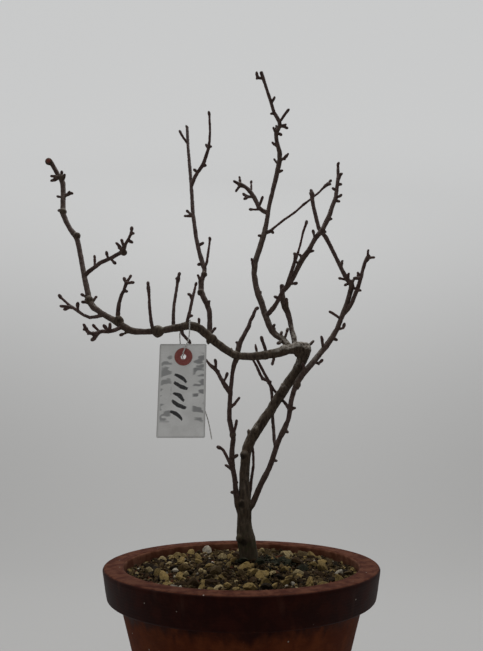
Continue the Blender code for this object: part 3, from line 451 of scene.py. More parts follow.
# Painted shade in the dips between the twine's plies
GROOVE_SHADE = (0.090, 0.082, 0.070)
BLACK_PLASTIC = (0.016, 0.016, 0.017)
WORN_PLASTIC = (0.035, 0.034, 0.032)


def twine_finish():
    """Grey cotton twine with loose fibres and painted shade in the dips between its plies."""
    g = Graph("Cotton twine")
    fibre = g.noise(0.35, 4, 0.7)
    colour = g.coated(GREY_COTTON, (fibre.rise(0.35, 0.65), PALE_COTTON),
                      (g.own("groove") * 0.85, GROOVE_SHADE))
    return g.finish(colour, 0.95, fibre, depth=0.12, strength=0.8, specular=0.2)


def plastic_finish():
    """Matt black moulded plastic."""
    g = Graph("Black plastic")
    tooth = g.noise(0.6, 3)
    colour = g.mix(g.noise(12, 3).rise(0.4, 0.7), BLACK_PLASTIC, WORN_PLASTIC)
    return g.finish(colour, 0.45 + tooth * 0.2, tooth, depth=0.05, strength=0.3)


def stage_finish(settings):
    """A sheet with daylight behind it, brighter towards its top."""
    g = Graph("Pale stage")
    glow = g.mix(g.axis("Z").rise(-200, 1700), tuple(settings.glow_low), tuple(settings.glow_high))
    g.feed(g.shader.inputs["Emission Color"], glow)
    g.shader.inputs["Emission Strength"].default_value = 1.0
    return g.finish(tuple(settings.wall), 0.9, specular=0.1)


def deselect():
    if bpy.context.object and bpy.context.object.mode != "OBJECT":
        bpy.ops.object.mode_set(mode="OBJECT")
    bpy.ops.object.select_all(action="DESELECT")


def edit(action):
    """Opens the active object in edit mode, with all or nothing of it selected."""
    bpy.ops.object.mode_set(mode="EDIT")
    bpy.ops.mesh.select_all(action=action)


def activate(item):
    deselect()
    item.select_set(True)
    bpy.context.view_layer.objects.active = item


def apply_modifier(item, kind, **settings):
    activate(item)
    modifier = item.modifiers.new(kind.title(), kind)
    for key, value in settings.items():
        setattr(modifier, key, value)
    bpy.ops.object.modifier_apply(modifier=modifier.name)


def settle(item):
    """Puts an object's place into its mesh, so that the object sits at the origin."""
    activate(item)
    bpy.ops.object.transform_apply(location=True, rotation=True, scale=True)


def smooth_by_angle(item, degrees):
    activate(item)
    bpy.ops.object.shade_smooth_by_angle(angle=math.radians(degrees))


def bore(item, radius, depth, middle, sides, turn=(0.0, 0.0, 0.0)):
    """Bores a round hole through an object."""
    deselect()
    bpy.ops.mesh.primitive_cylinder_add(vertices=sides, radius=radius * MM, depth=depth * MM,
                                        location=[value * MM for value in middle], rotation=turn)
    cutter = bpy.context.object
    apply_modifier(item, "BOOLEAN", operation="DIFFERENCE", object=cutter)
    bpy.data.objects.remove(cutter, do_unlink=True)


def join(items):
    """Joins objects into the first of them."""
    activate(items[0])
    for item in items[1:]:
        item.select_set(True)
    bpy.ops.object.join()


def new_object(name, points, faces):
    """Makes an object of points and the faces between them."""
    mesh = bpy.data.meshes.new(name)
    mesh.from_pydata((np.array(points) * MM).tolist(), [], faces)
    item = bpy.data.objects.new(name, mesh)
    bpy.context.scene.collection.objects.link(item)
    return item


def dress(item, name, material, slot, *nodes):
    """Names a piece, paints it, sets its body, and hides the solids that it stands for."""
    item.name = name
    item.data.name = name
    item.data.materials.clear()
    item.data.materials.append(material)
    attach(item, BODY)
    if nodes:
        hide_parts(*nodes)


def store(item, name, values, kind="FLOAT"):
    """Keeps one value or colour a vertex on the mesh, for its material to read."""
    layer = item.data.attributes.new(name, kind, "POINT")
    key = "color" if kind == "FLOAT_COLOR" else "value"
    layer.data.foreach_set(key, np.asarray(values, np.float32).ravel())


def vertex_array(mesh, key="co"):
    """Reads every vertex's place, in metres, or its normal."""
    values = np.empty(len(mesh.vertices) * 3, np.float32)
    mesh.vertices.foreach_get(key, values)
    return values.reshape(-1, 3)


def turned(profile, segments):
    """Turns points of radius and height, ring by ring, from a circle."""
    deselect()
    bpy.ops.mesh.primitive_circle_add(vertices=segments, radius=profile[0][0] * MM, fill_type="NGON")
    item = bpy.context.object
    edit("SELECT")
    for (r0, z0), (r1, z1) in zip(profile, profile[1:]):
        bpy.ops.mesh.extrude_region_move(TRANSFORM_OT_translate={"value": (0, 0, (z1 - z0) * MM)})
        bpy.ops.transform.resize(value=(r1 / r0, r1 / r0, 1.0), center_override=(0, 0, z1 * MM))
    bpy.ops.mesh.select_all(action="SELECT")
    bpy.ops.mesh.normals_make_consistent(inside=False)
    bpy.ops.object.mode_set(mode="OBJECT")
    item.location.z = profile[0][1] * MM
    settle(item)
    return item


def arc_points(centre, radius, start, end, steps):
    points = []
    for i in range(steps + 1):
        angle = math.radians(start + (end - start) * i / steps)
        points.append((centre[0] + radius * math.cos(angle), centre[1] + radius * math.sin(angle)))
    return points


def inner_radius(height):
    for (z0, r0), (z1, r1) in zip(INNER_WALL, INNER_WALL[1:]):
        if height <= z1:
            return r0 + (r1 - r0) * (height - z0) / (z1 - z0)
    return INNER_WALL[-1][1]


def soil_height(x, y):
    """The soil is mounded to the trunk and has a gentle unevenness."""
    from_trunk = np.hypot(x - TRUNK_X, y)
    mound = (SOIL_CROWN - SOIL_EDGE) * np.exp(-(from_trunk / 62.0) ** 2)
    ripple = 1.1 * np.sin(x / 9.0 + 1.3) * np.cos(y / 11.0) + 0.8 * np.sin((x - y) / 17.0)
    return SOIL_EDGE + mound + ripple


def pot_profile():
    """The pot's section from its foot up the outside, over the lip and down to its floor."""
    band_foot = POT_HEIGHT - BAND_HEIGHT
    profile = [(FOOT_RADIUS - FOOT_EDGE, 0.0)]
    profile += arc_points((FOOT_RADIUS - FOOT_EDGE, FOOT_EDGE), FOOT_EDGE, -60, 0, 3)
    wall_top = band_foot - 2.5
    wall_steps = 12
    for step in range(1, wall_steps + 1):
        height = wall_top * step / wall_steps
        profile.append((FOOT_RADIUS + height / band_foot * (NECK_RADIUS - FOOT_RADIUS), height))
    profile += arc_points((NECK_RADIUS + NECK_COVE, band_foot - NECK_COVE), NECK_COVE, 160, 90, 3)
    profile += [(BAND_FOOT_RADIUS - 4, band_foot)]
    profile += arc_points((BAND_FOOT_RADIUS - BAND_EDGE, band_foot + BAND_EDGE), BAND_EDGE, -75, -5, 4)
    profile += [(radius, height) for height, radius in BAND_WALL]
    profile += arc_points((RIM_RADIUS - RIM_EDGE, POT_HEIGHT - RIM_EDGE), RIM_EDGE, 5, 90, 6)
    inner_lip = RIM_RADIUS - LIP_WIDTH
    lip_height = POT_HEIGHT - 0.1
    profile += [(RIM_RADIUS - 6.5, lip_height), (inner_lip + 6.0, lip_height)]
    profile += arc_points((inner_lip + 3.0, POT_HEIGHT - INNER_EDGE), INNER_EDGE, 90, 175, 6)
    profile += [(inner_lip + 0.3, 141.0)]
    profile += [(radius, height) for height, radius in INNER_WALL[-2:0:-1]]
    profile += [(inner_radius(FLOOR) - FLOOR_COVE, FLOOR)]
    return profile


def make_pot(settings):
    """Turns the clay pot and bores its drain holes."""
    pot = turned(pot_profile(), settings.segments)
    for i in range(DRAINS):
        angle = math.tau * (i + 0.25) / DRAINS
        middle = (DRAIN_OFFSET * math.cos(angle), DRAIN_OFFSET * math.sin(angle), FLOOR / 2)
        bore(pot, DRAIN_RADIUS, 3 * FLOOR, middle, sides=32)
    smooth_by_angle(pot, 38)
    places = vertex_array(pot.data) / MM
    reach = np.hypot(places[:, 0], places[:, 1])
    wall = np.array([inner_radius(z) for z in places[:, 2]])
    store(pot, "inside", ((reach < wall + 1.0) & (places[:, 2] > FLOOR - 1)).astype(float))
    dress(pot, "clay_pot", clay_finish(settings), "clay", "pot")


def make_bed():
    """Turns the fill below the loose grains, with a hole for the trunk."""
    top_height = SOIL_EDGE - 3.0
    profile = [(inner_radius(SOIL_BOTTOM) - FLOOR_COVE - SOIL_CLEARANCE, SOIL_BOTTOM)]
    for height in (SOIL_BOTTOM + 3.0, INNER_WALL[2][0], top_height):
        profile.append((inner_radius(height) - SOIL_CLEARANCE, height))
    edge = profile[-1][0]
    rings = 26
    profile += [(edge * (1 - i / rings), top_height + 1) for i in range(1, rings)]
    bed = turned(profile, 96)
    places = vertex_array(bed.data) / MM
    top = places[:, 2] > top_height + 0.5
    lumps = np.array([noise.noise(Vector(p) / 5.0) for p in places])
    places[top, 2] = (soil_height(places[:, 0], places[:, 1]) - 1.2 + 0.9 * lumps)[top]
    bed.data.vertices.foreach_set("co", (places * MM).ravel())
    hole_depth = 100.0
    bore(bed, TRUNK_HOLE, hole_depth, (TRUNK_X, 0.0, TRUNK_FOOT + hole_depth / 2), sides=48)
    smooth_by_angle(bed, 50)
    dress(bed, "soil_bed", bed_finish(), "soil", "soil")


def grain_shapes(count, subdivisions, roughness, seed):
    """Models a few broken, angular grains of about unit radius: their points and faces."""
    chance = np.random.default_rng(seed)
    cuts = 8
    shapes = []
    for shape in range(count):
        deselect()
        bpy.ops.mesh.primitive_ico_sphere_add(subdivisions=subdivisions, radius=1.15)
        item = bpy.context.object
        edit("SELECT")
        bpy.ops.transform.vertex_random(offset=roughness, seed=shape + 1)
        bpy.ops.object.mode_set(mode="OBJECT")
        faces = np.array([list(face.vertices) for face in item.data.polygons])
        points = vertex_array(item.data).astype(float)
        for _ in range(cuts):
            side = chance.normal(size=3)
            side /= np.linalg.norm(side)
            beyond = np.maximum(points @ side - chance.uniform(0.55, 0.85), 0.0)
            points -= beyond[:, None] * side * 0.9
        shapes.append((points, faces))
        bpy.data.objects.remove(item, do_unlink=True)
    return shapes


# Grain colours, with how often each comes up among small and among large grains
GRAIN_COLOURS = [
    ((0.215, 0.150, 0.056), 0.09, 0.46), ((0.082, 0.054, 0.022), 0.25, 0.22),
    ((0.036, 0.020, 0.008), 0.34, 0.12), ((0.013, 0.008, 0.004), 0.25, 0.07),
    ((0.330, 0.255, 0.128), 0.03, 0.11), ((0.38, 0.34, 0.27), 0.015, 0.01),
    ((0.088, 0.030, 0.014), 0.025, 0.01)]
# Smallest and largest length, breadth and height of a grain, as shares of its size
GRAIN_SPANS = ((0.95, 1.2), (0.7, 1.0), (0.55, 0.85))
LARGE_GRAIN = 4.4
TRIES_PER_GRAIN = 30
# The mossy patch beside the trunk: colour, X and Y of its middle, and its spread along each
MOSS_COLOUR = (0.016, 0.018, 0.010)
MOSS_SPOT = (32.0, -5.0)
MOSS_SPREAD = (26, 17)


def scatter_grains(name, material, seed, count, sizes, lift, shapes, spread):
    """Lays loose grains over the bed, clear of the trunk and of the pot's wall."""
    chance = np.random.default_rng(seed)
    reach_limit = inner_radius(SOIL_EDGE) - 1.0
    kept = np.empty((0, 3))
    points, faces, colours = [], [], []
    weights = np.array([shares for _, *shares in GRAIN_COLOURS])
    weights /= weights.sum(axis=0)
    total = 0
    for _ in range(count * TRIES_PER_GRAIN):
        if len(kept) >= count:
            break
        size = sizes[0] + (sizes[1] - sizes[0]) * chance.random() ** 3.0
        reach = (reach_limit - size) * math.sqrt(chance.random())
        angle = chance.uniform(0, math.tau)
        x, y = reach * math.cos(angle), reach * math.sin(angle)
        if math.hypot(x - TRUNK_X, y) < TRUNK_RADIUS + size * 0.9:
            continue
        if len(kept) and np.any(np.hypot(kept[:, 0] - x, kept[:, 1] - y) < spread * (kept[:, 2] + size)):
            continue
        kept = np.vstack([kept, (x, y, size)])
        shape, sides = shapes[chance.integers(len(shapes))]
        squash = np.diag([size * chance.uniform(*span) for span in GRAIN_SPANS])
        roll = chance.uniform(0, math.tau)
        axis = Vector((chance.uniform(-1, 1), chance.uniform(-1, 1), 1.2)).normalized()
        turn = np.array(Matrix.Rotation(roll, 3, axis))
        z = soil_height(x, y) + size * chance.uniform(*lift)
        points.append(shape @ squash @ turn.T + (x, y, z))
        faces.append(sides + total)
        total += len(shape)
        share = weights[:, 1 if size > LARGE_GRAIN else 0]
        tone = GRAIN_COLOURS[chance.choice(len(share), p=share)][0]
        off_moss = ((x - MOSS_SPOT[0]) / MOSS_SPREAD[0]) ** 2 + ((y - MOSS_SPOT[1]) / MOSS_SPREAD[1]) ** 2
        if chance.random() < math.exp(-off_moss) * 0.85:
            tone = MOSS_COLOUR
        tone = np.array(tone) * chance.uniform(0.7, 1.25)
        colours.append(np.tile((*tone, 1.0), (len(shape), 1)))
    item = new_object(name, np.vstack(points), np.vstack(faces).tolist())
    store(item, "grain_colour", np.vstack(colours), "FLOAT_COLOR")
    smooth_by_angle(item, 24)
    dress(item, name, material, "soil")


def make_soil(settings):
    """Fills the pot and lays its larger and its smaller grains."""
    make_bed()
    material = grain_finish()
    scatter_grains("large_grains", material, seed=7, count=settings.large_grains, sizes=(2.4, 7.6),
                   lift=(0.15, 0.55), spread=0.66,
                   shapes=grain_shapes(count=6, subdivisions=2, roughness=0.16, seed=11))
    scatter_grains("small_grains", material, seed=8, count=settings.small_grains, sizes=(1.1, 2.3),
                   lift=(0.5, 1.6), spread=0.35,
                   shapes=grain_shapes(count=6, subdivisions=1, roughness=0.12, seed=12))


def surface_tree(mesh):
    """Lets rays be cast at a mesh."""
    return BVHTree.FromPolygons([v.co / MM for v in mesh.vertices], [p.vertices[:] for p in mesh.polygons])


def measure_girth(mesh):
    """Thickness of the wood under each vertex, from a ray through it."""
    tree = BVHTree.FromPolygons([v.co for v in mesh.vertices], [p.vertices[:] for p in mesh.polygons])
    skin, longest = 0.05 * MM, 30 * MM
    girth = np.empty(len(mesh.vertices))
    for vertex in mesh.vertices:
        inward = -vertex.normal
        hit = tree.ray_cast(vertex.co + inward * skin, inward, longest)
        girth[vertex.index] = (hit[3] if hit[0] else 0.0) / MM
    return np.clip(girth, 0.8, 20.0)


def smooth_values(mesh, values, rounds):
    """Averages a value over neighbouring vertices."""
    edges = np.empty(len(mesh.edges) * 2, np.int64)
    mesh.edges.foreach_get("vertices", edges)
    a, b = edges.reshape(-1, 2).T
    degree = np.bincount(np.concatenate([a, b]), minlength=len(values)).astype(float)
    for _ in range(rounds):
        total = np.bincount(a, weights=values[b], minlength=len(values))
        total += np.bincount(b, weights=values[a], minlength=len(values))
        values = 0.5 * values + 0.5 * total / np.maximum(degree, 1)
    return values


# Old pruning knobs and swellings: X and Z where each shows on the trunk's upright sheet, and radius
KNOBS = [
    (-93.2, 387.3, 6.3), (-234.0, 599.4, 4.2), (-137.6, 399.1, 5.4), (-192.6, 502.0, 4.2),
    (-211.2, 532.8, 3.8), (-42.9, 454.5, 3.2), (-46.6, 433.1, 3.4), (-136.5, 481.3, 3.4),
    (-217.1, 577.4, 3.7), (-172.8, 423.5, 4.6), (-32.5, 378.4, 5.0), (-8.0, 361.0, 4.2),
    (46.8, 323.0, 4.6), (47.5, 366.5, 5.2), (62.5, 369.0, 6.2), (71.0, 366.5, 5.0),
    (3.6, 253.7, 5.2), (15.3, 278.0, 5.4), (60.7, 327.7, 3.6), (26.7, 360.0, 4.6),
    (-9.3, 274.1, 3.2), (-1.1, 171.5, 4.6), (-0.6, 206.0, 3.6), (63.0, 363.0, 5.4)]
# How deep a knob's middle lies in the wood, as a share of its radius
KNOB_SINK = 0.55

# Buds sit where twigs of less than this girth end, clear of the soil and of each other
BUD_TWIG = 3.4
BUD_ABOVE_SOIL = 12
BUD_GAP = 4.5
# A twig ends where the wood within this reach of a point lies mostly to one side of it
TWIG_REACH = 3.6
TWIG_END_LEAN = 0.40
TWIG_SAMPLING = 5


def knob_places(mesh):
    """Seats each knob on the nearest wood along its line of sight."""
    wood = surface_tree(mesh)
    for x, z, radius in KNOBS:
        sight = (Vector((x, 0.0, z)) - EYE).normalized()
        hit = wood.ray_cast(EYE, sight)
        if hit[0] is None:
            raise RuntimeError("No wood lies behind the knob at %s, %s" % (x, z))
        yield hit[0] + sight * radius * KNOB_SINK, sight, radius, 1.0


def bud_places(mesh, seed):
    """Finds where thin twigs end, and sets a bud on each, pointing along its twig."""
    chance = random.Random(seed)
    places = vertex_array(mesh).astype(float) / MM
    girth = measure_girth(mesh)
    points = KDTree(len(places))
    for i, place in enumerate(places):
        points.insert(place, i)
    points.balance()
    ends = []
    for i in range(0, len(places), TWIG_SAMPLING):
        if girth[i] < BUD_TWIG and places[i, 2] > SOIL_CROWN + BUD_ABOVE_SOIL:
            near = [place for place, _, _ in points.find_range(places[i], TWIG_REACH)]
            lean = Vector(places[i]) - sum(near, Vector()) / len(near)
            if lean.length > TWIG_END_LEAN * TWIG_REACH:
                ends.append((lean.length, tuple(places[i]), lean.normalized()))
    kept = []
    for _, place, lean in sorted(ends, key=lambda end: -end[0]):
        tip = Vector(place)
        if all((tip - other).length > BUD_GAP for other, _ in kept):
            kept.append((tip, lean))
    for tip, lean in kept:
        radius = chance.uniform(1.0, 1.5)
        yield tip - lean * radius * 0.9, lean, radius, chance.uniform(1.7, 2.3)


def fuse(tree, lumps, voxel):
    """Models each lump as a stretched ball and fuses it into the wood."""
    balls = []
    for place, lean, radius, stretch in lumps:
        deselect()
        bpy.ops.mesh.primitive_ico_sphere_add(subdivisions=3, radius=radius * MM, location=place * MM,
                                              rotation=lean.to_track_quat("Z", "Y").to_euler())
        bpy.context.object.scale = (1.0, 1.0, stretch)
        balls.append(bpy.context.object)
    join([tree, *balls])
    apply_modifier(tree, "REMESH", mode="VOXEL", voxel_size=voxel)


def copy_of_solid(name):
    """Copies a solid of the frame as a free object, and merges its loose triangles."""
    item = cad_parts[name].copy()
    item.data = item.data.copy()
    item.parent = None
    for key in list(item.keys()):
        del item[key]
    bpy.context.scene.collection.objects.link(item)
    item.hide_render = False
    activate(item)
    edit("SELECT")
    bpy.ops.mesh.remove_doubles(threshold=0.002 * MM)
    bpy.ops.object.mode_set(mode="OBJECT")
    return item


# Wood thinner than the first girth is young, and thicker than the second is old
YOUNG_GIRTH = 3.0
OLD_GIRTH = 11.0
# Girths at which a twig begins to take on its buds' colour and has it in full
BUD_TONE_START = 2.6
BUD_TONE_FULL = 1.4
# How far the smoothed wood is swelled, against what smoothing takes off it
SWELLING = 0.16
# Where the left leader was cut: X and Z seen from the front, and how wide the cut shows
CUT_END = (-234.3, 600.2)
CUT_RADIUS = 3.0
CUT_SOFTNESS = 0.8


def roughen(mesh, girth):
    """Raises ridges and lumps on old bark, and thickens and roughens the young shoots."""
    places = vertex_array(mesh).astype(float)
    old = np.clip((girth - YOUNG_GIRTH) / (OLD_GIRTH - YOUNG_GIRTH), 0, 1)
    raise_by = np.empty(len(places))
    for i, p in enumerate(places / MM):
        ridge = noise.noise(Vector((p[0] / 3.2, p[1] / 3.2, p[2] / 11.0)))
        lump = noise.noise(Vector(p) / 7.0)
        knot = noise.noise(Vector(p) / 1.7)
        on_old = 0.42 * ridge + 0.35 * lump
        on_young = 0.50 + 0.25 * lump + 0.22 * knot
        raise_by[i] = old[i] * on_old + (1 - old[i]) * on_young
    places += vertex_array(mesh, "normal") * (raise_by * MM)[:, None]
    mesh.vertices.foreach_set("co", places.astype(np.float32).ravel())


def make_tree(settings):
    """Rounds the tree's solid into living wood: smooth collars, ridges, knobs and buds."""
    tree = copy_of_solid("tree")
    fuse(tree, knob_places(tree.data), settings.voxel)
    fuse(tree, bud_places(tree.data, seed=5), settings.voxel)
    apply_modifier(tree, "SMOOTH", factor=0.5, iterations=6)
    apply_modifier(tree, "DISPLACE", strength=SWELLING * MM, mid_level=0.0)
    mesh = tree.data
    girth = smooth_values(mesh, measure_girth(mesh), rounds=12)
    roughen(mesh, girth)
    store(tree, "girth", girth)
    triangles = len(mesh.polygons) * 2
    apply_modifier(tree, "DECIMATE", ratio=min(1.0, settings.tree_triangles / triangles))
    places = vertex_array(tree.data) / MM
    girth = np.empty(len(tree.data.vertices), np.float32)
    tree.data.attributes["girth"].data.foreach_get("value", girth)
    store(tree, "bud", np.clip((BUD_TONE_START - girth) / (BUD_TONE_START - BUD_TONE_FULL), 0, 1))
    from_cut = np.hypot(places[:, 0] - CUT_END[0], places[:, 2] - CUT_END[1])
    faces_eye = vertex_array(tree.data, "normal")[:, 1] < -0.4
    store(tree, "cut_end", np.clip((CUT_RADIUS - from_cut) / CUT_SOFTNESS, 0, 1) * faces_eye)
    activate(tree)
    bpy.ops.object.shade_smooth()
    dress(tree, "crabapple_wood", bark_finish(settings), "bark", "tree")


# The limb where the string crosses it, behind and in front: X and Z on the trunk's upright
# sheet, depth, and radius
LIMB_BEHIND = (-68.5, 392.2, -40, 4.2)
LIMB_IN_FRONT = (-57.5, 393.8, -38, 4.8)
# The string's route below the limb: up from its tail's end behind the tag, and down in front
TAIL = [
    (-29.5, -36.3, 268.3), (-31.0, -36.4, 276), (-33.2, -36.6, 286), (-36.5, -36.9, 296),
    (-41.5, -37.1, 308), (-47.5, -37.2, 321), (-53.5, -37.1, 334), (-58.6, -36.9, 345.5),
    (-62.0, -36.6, 355), (-63.6, -35.7, 366), (-64.4, -35.0, 375)]
DROP = [(-53.6, -43.6, 375), (-54.6, -43.2, 367.5), (-57.2, -42.8, 361)]
EYELET_TURN = 2.5
ROUTE_STEP = 0.5


def seat(x, z, depth):
    """Moves a point drawn on the trunk's upright sheet to its depth, along the line of sight."""
    scale = (EYE_DISTANCE + depth) / EYE_DISTANCE
    return Vector((x * scale, depth, EYE_HEIGHT + (z - EYE_HEIGHT) * scale)), scale


def over_limb(angle):
    """Where the string lies on the limb: 0 is behind it, 90 on top, 180 in front."""
    *drawn_behind, radius_behind = LIMB_BEHIND
    *drawn_in_front, radius_in_front = LIMB_IN_FRONT
    behind, scale_behind = seat(*drawn_behind)
    in_front, scale_in_front = seat(*drawn_in_front)
    share = min(1.0, 0.05 + 0.95 * angle / 90.0)
    centre = behind.lerp(in_front, share)
    radius = (1 - share) * radius_behind * scale_behind + share * radius_in_front * scale_in_front
    reach = radius + STRING_DIAMETER / 2 + GAP + (SLANT_SLACK if 0 <= angle <= 90 else 0.0)
    turn = math.radians(angle)
    return centre + reach * Vector((0, math.cos(turn), math.sin(turn)))


def smooth_route(points, step):
    """Reads evenly spaced points from a Catmull-Rom curve through the route."""
    ends = [2 * points[0] - points[1], *points, 2 * points[-1] - points[-2]]
    readings = 16
    fine = []
    for a, b, c, d in zip(ends, ends[1:], ends[2:], ends[3:]):
        for i in range(readings):
            t = i / readings
            fine.append(0.5 * (2 * b + (c - a) * t + (2 * a - 5 * b + 4 * c - d) * t * t
                               + (3 * b - a - 3 * c + d) * t ** 3))
    fine.append(points[-1].copy())
    route = [fine[0]]
    for point in fine:
        if (point - route[-1]).length >= step:
            route.append(point)
    route[-1] = fine[-1]
    return route


def string_route():
    """Tail behind the tag, up and over the limb, down and through the eyelet."""
    hole_top = EYELET_HOLE - EYELET_SLACK - STRING_DIAMETER / 2
    turn_centre = EYELET + Vector((0, 0, hole_top + EYELET_TURN))
    route = [Vector(point) for point in TAIL]
    route += [over_limb(angle) for angle in range(0, 181, 30)]
    route += [Vector(point) for point in DROP]
    for angle in range(180, 361, 45):
        turn = math.radians(angle)
        route.append(turn_centre + EYELET_TURN * Vector((0, math.cos(turn), math.sin(turn))))
    route.append(turn_centre + Vector((0.2, EYELET_TURN + 0.2, 3.4)))
    return smooth_route(route, ROUTE_STEP)


def lay_twine(route, lay):
    """Lays two twisted plies along a route, and keeps how deep each point lies in the dip between them,
    where shade is painted.
    """
    sides = 14
    across = (route[1] - route[0]).orthogonal().normalized()
    points, faces, groove_shades = [], [], []
    run = 0.0
    for i, centre in enumerate(route):
        heading = (route[min(i + 1, len(route) - 1)] - route[max(i - 1, 0)]).normalized()
        across = (across - across.dot(heading) * heading).normalized()
        up = heading.cross(across)
        if i:
            run += (centre - route[i - 1]).length
        for j in range(sides):
            angle = math.tau * j / sides
            ply = abs(math.cos(angle - run * math.tau / (2 * lay)))
            reach = STRING_DIAMETER / 2 * (0.80 + 0.32 * ply)
            # Depth of the dip between the plies, which sets the painted shade there
            groove_shades.append(max(0.0, 1.0 - ply / 0.55))
            points.append(centre + reach * (math.cos(angle) * across + math.sin(angle) * up))
    for i in range(len(route) - 1):
        for j in range(sides):
            k = (j + 1) % sides
            faces.append((i * sides + j, i * sides + k, (i + 1) * sides + k, (i + 1) * sides + j))
    faces.append(tuple(range(sides))[::-1])
    faces.append(tuple((len(route) - 1) * sides + j for j in range(sides)))
    twine = new_object("twine", points, faces)
    smooth_by_angle(twine, 60)
    store(twine, "groove", groove_shades)
    return twine


# The knot above the eyelet: its middle, and how each of its two loops is raised and tilted
KNOT = (-60.9, -36.8, 357.6)
KNOT_LOOPS = ((-0.7, 0.35), (0.35, -0.4))


def tie_knot():
    """Ties the knot behind the tag, of two flattened loops."""
    loops = []
    for lift, tilt in KNOT_LOOPS:
        deselect()
        bpy.ops.mesh.primitive_torus_add(
            major_radius=1.75 * MM, minor_radius=0.52 * MM, major_segments=28, minor_segments=12,
            location=(KNOT[0] * MM, KNOT[1] * MM, (KNOT[2] + lift) * MM), rotation=(tilt, -tilt, 0))
        bpy.context.object.scale = (1.0, 0.62, 1.0)
        loops.append(bpy.context.object)
    join(loops)
    knot = loops[0]
    settle(knot)
    bpy.ops.object.shade_smooth()
    return knot


def make_string(settings):
    """Lays the twine over the limb and through the eyelet, and ties its knot."""
    route = string_route()
    material = twine_finish()
    twine = lay_twine(route, settings.lay)
    dress(twine, "twine", material, "twine", "tag_string")
    knot = tie_knot()
    dress(knot, "twine_knot", material, "twine")
    length = sum((b - a).length for a, b in zip(route, route[1:])) * MM


# The card curls below this height, fully so this far under it
CURL_TOP = 340.0
CURL_SPAN = 70.0


def make_tag(settings):
    """Cuts the card, rounds its corners, punches its eyelet and lets it curl a little."""
    low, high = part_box("tag")
    width, height = high.x - low.x, high.z - low.z
    centre = ((low.x + high.x) / 2, TAG_DEPTH * MM, (low.z + high.z) / 2)
    upright = (math.pi / 2, 0, 0)
    deselect()
    bpy.ops.mesh.primitive_grid_add(x_subdivisions=32, y_subdivisions=64, size=1.0,
                                    location=centre, rotation=upright)
    card = bpy.context.object
    card.scale = (width, height, 1.0)
    settle(card)
    edit("DESELECT")
    bpy.ops.object.mode_set(mode="OBJECT")
    touching = 0.01 * MM
    for vertex in card.data.vertices:
        on_x = min(abs(vertex.co.x - low.x), abs(vertex.co.x - high.x)) < touching
        on_z = min(abs(vertex.co.z - low.z), abs(vertex.co.z - high.z)) < touching
        vertex.select = on_x and on_z
    bpy.ops.object.mode_set(mode="EDIT")
    bpy.ops.mesh.select_mode(type="VERT")
    bpy.ops.mesh.bevel(offset=TAG_CORNER * MM, segments=4, affect="VERTICES")
    bpy.ops.object.mode_set(mode="OBJECT")
    apply_modifier(card, "SOLIDIFY", thickness=TAG_THICKNESS * MM, offset=0.0)
    bore(card, EYELET_HOLE, 20.0, EYELET, sides=40, turn=upright)
    places = vertex_array(card.data)
    drop = np.clip((CURL_TOP - places[:, 2] / MM) / CURL_SPAN, 0, 1)
    side = (places[:, 0] / MM - TAG_MIDDLE[0]) / TAG_HALF_WIDTH
    places[:, 1] -= settings.curl * drop ** 2 * (0.75 * side ** 2 + 0.25 * side - 0.25)
    card.data.vertices.foreach_set("co", places.ravel())
    smooth_by_angle(card, 40)
    dress(card, "card_tag", card_finish(settings), "card", "tag")


def paint_solids():
    """Gives the solids that stay as they are their finish."""
    red = ring_finish()
    for name, material in (("tag_ring_front", red), ("tag_ring_back", red),
                           ("drain_screen", plastic_finish())):
        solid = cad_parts[name]
        solid.data.materials.clear()
        solid.data.materials.append(material)


# The stage's sweep and the point that its lamps aim at, in metres
STAGE_HALF_WIDTH = 4.0
STAGE_DEPTH = 4.0
STAGE_BEND = 0.9
STAGE_WALL = 2.6
STAGE_BACK = 1.5
AIM = Vector((0, 0, 0.3))


def make_camera():
    """Sets the camera at the eye."""
    camera = bpy.data.objects.new("Camera", bpy.data.cameras.new("Camera"))
    camera.data.lens = LENS
    camera.location = (0, -EYE_DISTANCE * MM, EYE_HEIGHT * MM)
    camera.rotation_euler = (math.radians(90 + EYE_PITCH), 0, 0)
    bpy.context.scene.collection.objects.link(camera)
    bpy.context.scene.camera = camera


def make_sweep(settings):
    """Spreads a pale floor that curves up into a wall."""
    deselect()
    bend_start = STAGE_BACK - STAGE_BEND
    bpy.ops.mesh.primitive_plane_add(size=1.0, location=(0, 0, 0))
    sweep = bpy.context.object
    sweep.scale = (2 * STAGE_HALF_WIDTH, STAGE_DEPTH, 1.0)
    sweep.location = (0, bend_start - STAGE_DEPTH / 2, 0)
    settle(sweep)
    bpy.ops.object.mode_set(mode="EDIT")
    bpy.ops.mesh.select_mode(type="EDGE")
    bpy.ops.mesh.select_all(action="DESELECT")
    bpy.ops.object.mode_set(mode="OBJECT")
    for edge in sweep.data.edges:
        edge.select = all(sweep.data.vertices[i].co.y > bend_start - 0.01 for i in edge.vertices)
    bpy.ops.object.mode_set(mode="EDIT")
    bpy.ops.mesh.spin(steps=16, angle=-math.pi / 2, center=(0, bend_start, STAGE_BEND), axis=(1, 0, 0))
    bpy.ops.mesh.extrude_region_move(TRANSFORM_OT_translate={"value": (0, 0, STAGE_WALL)})
    bpy.ops.object.mode_set(mode="OBJECT")
    bpy.ops.object.shade_smooth()
    sweep.name = "stage_sweep"
    sweep.data.materials.append(stage_finish(settings))


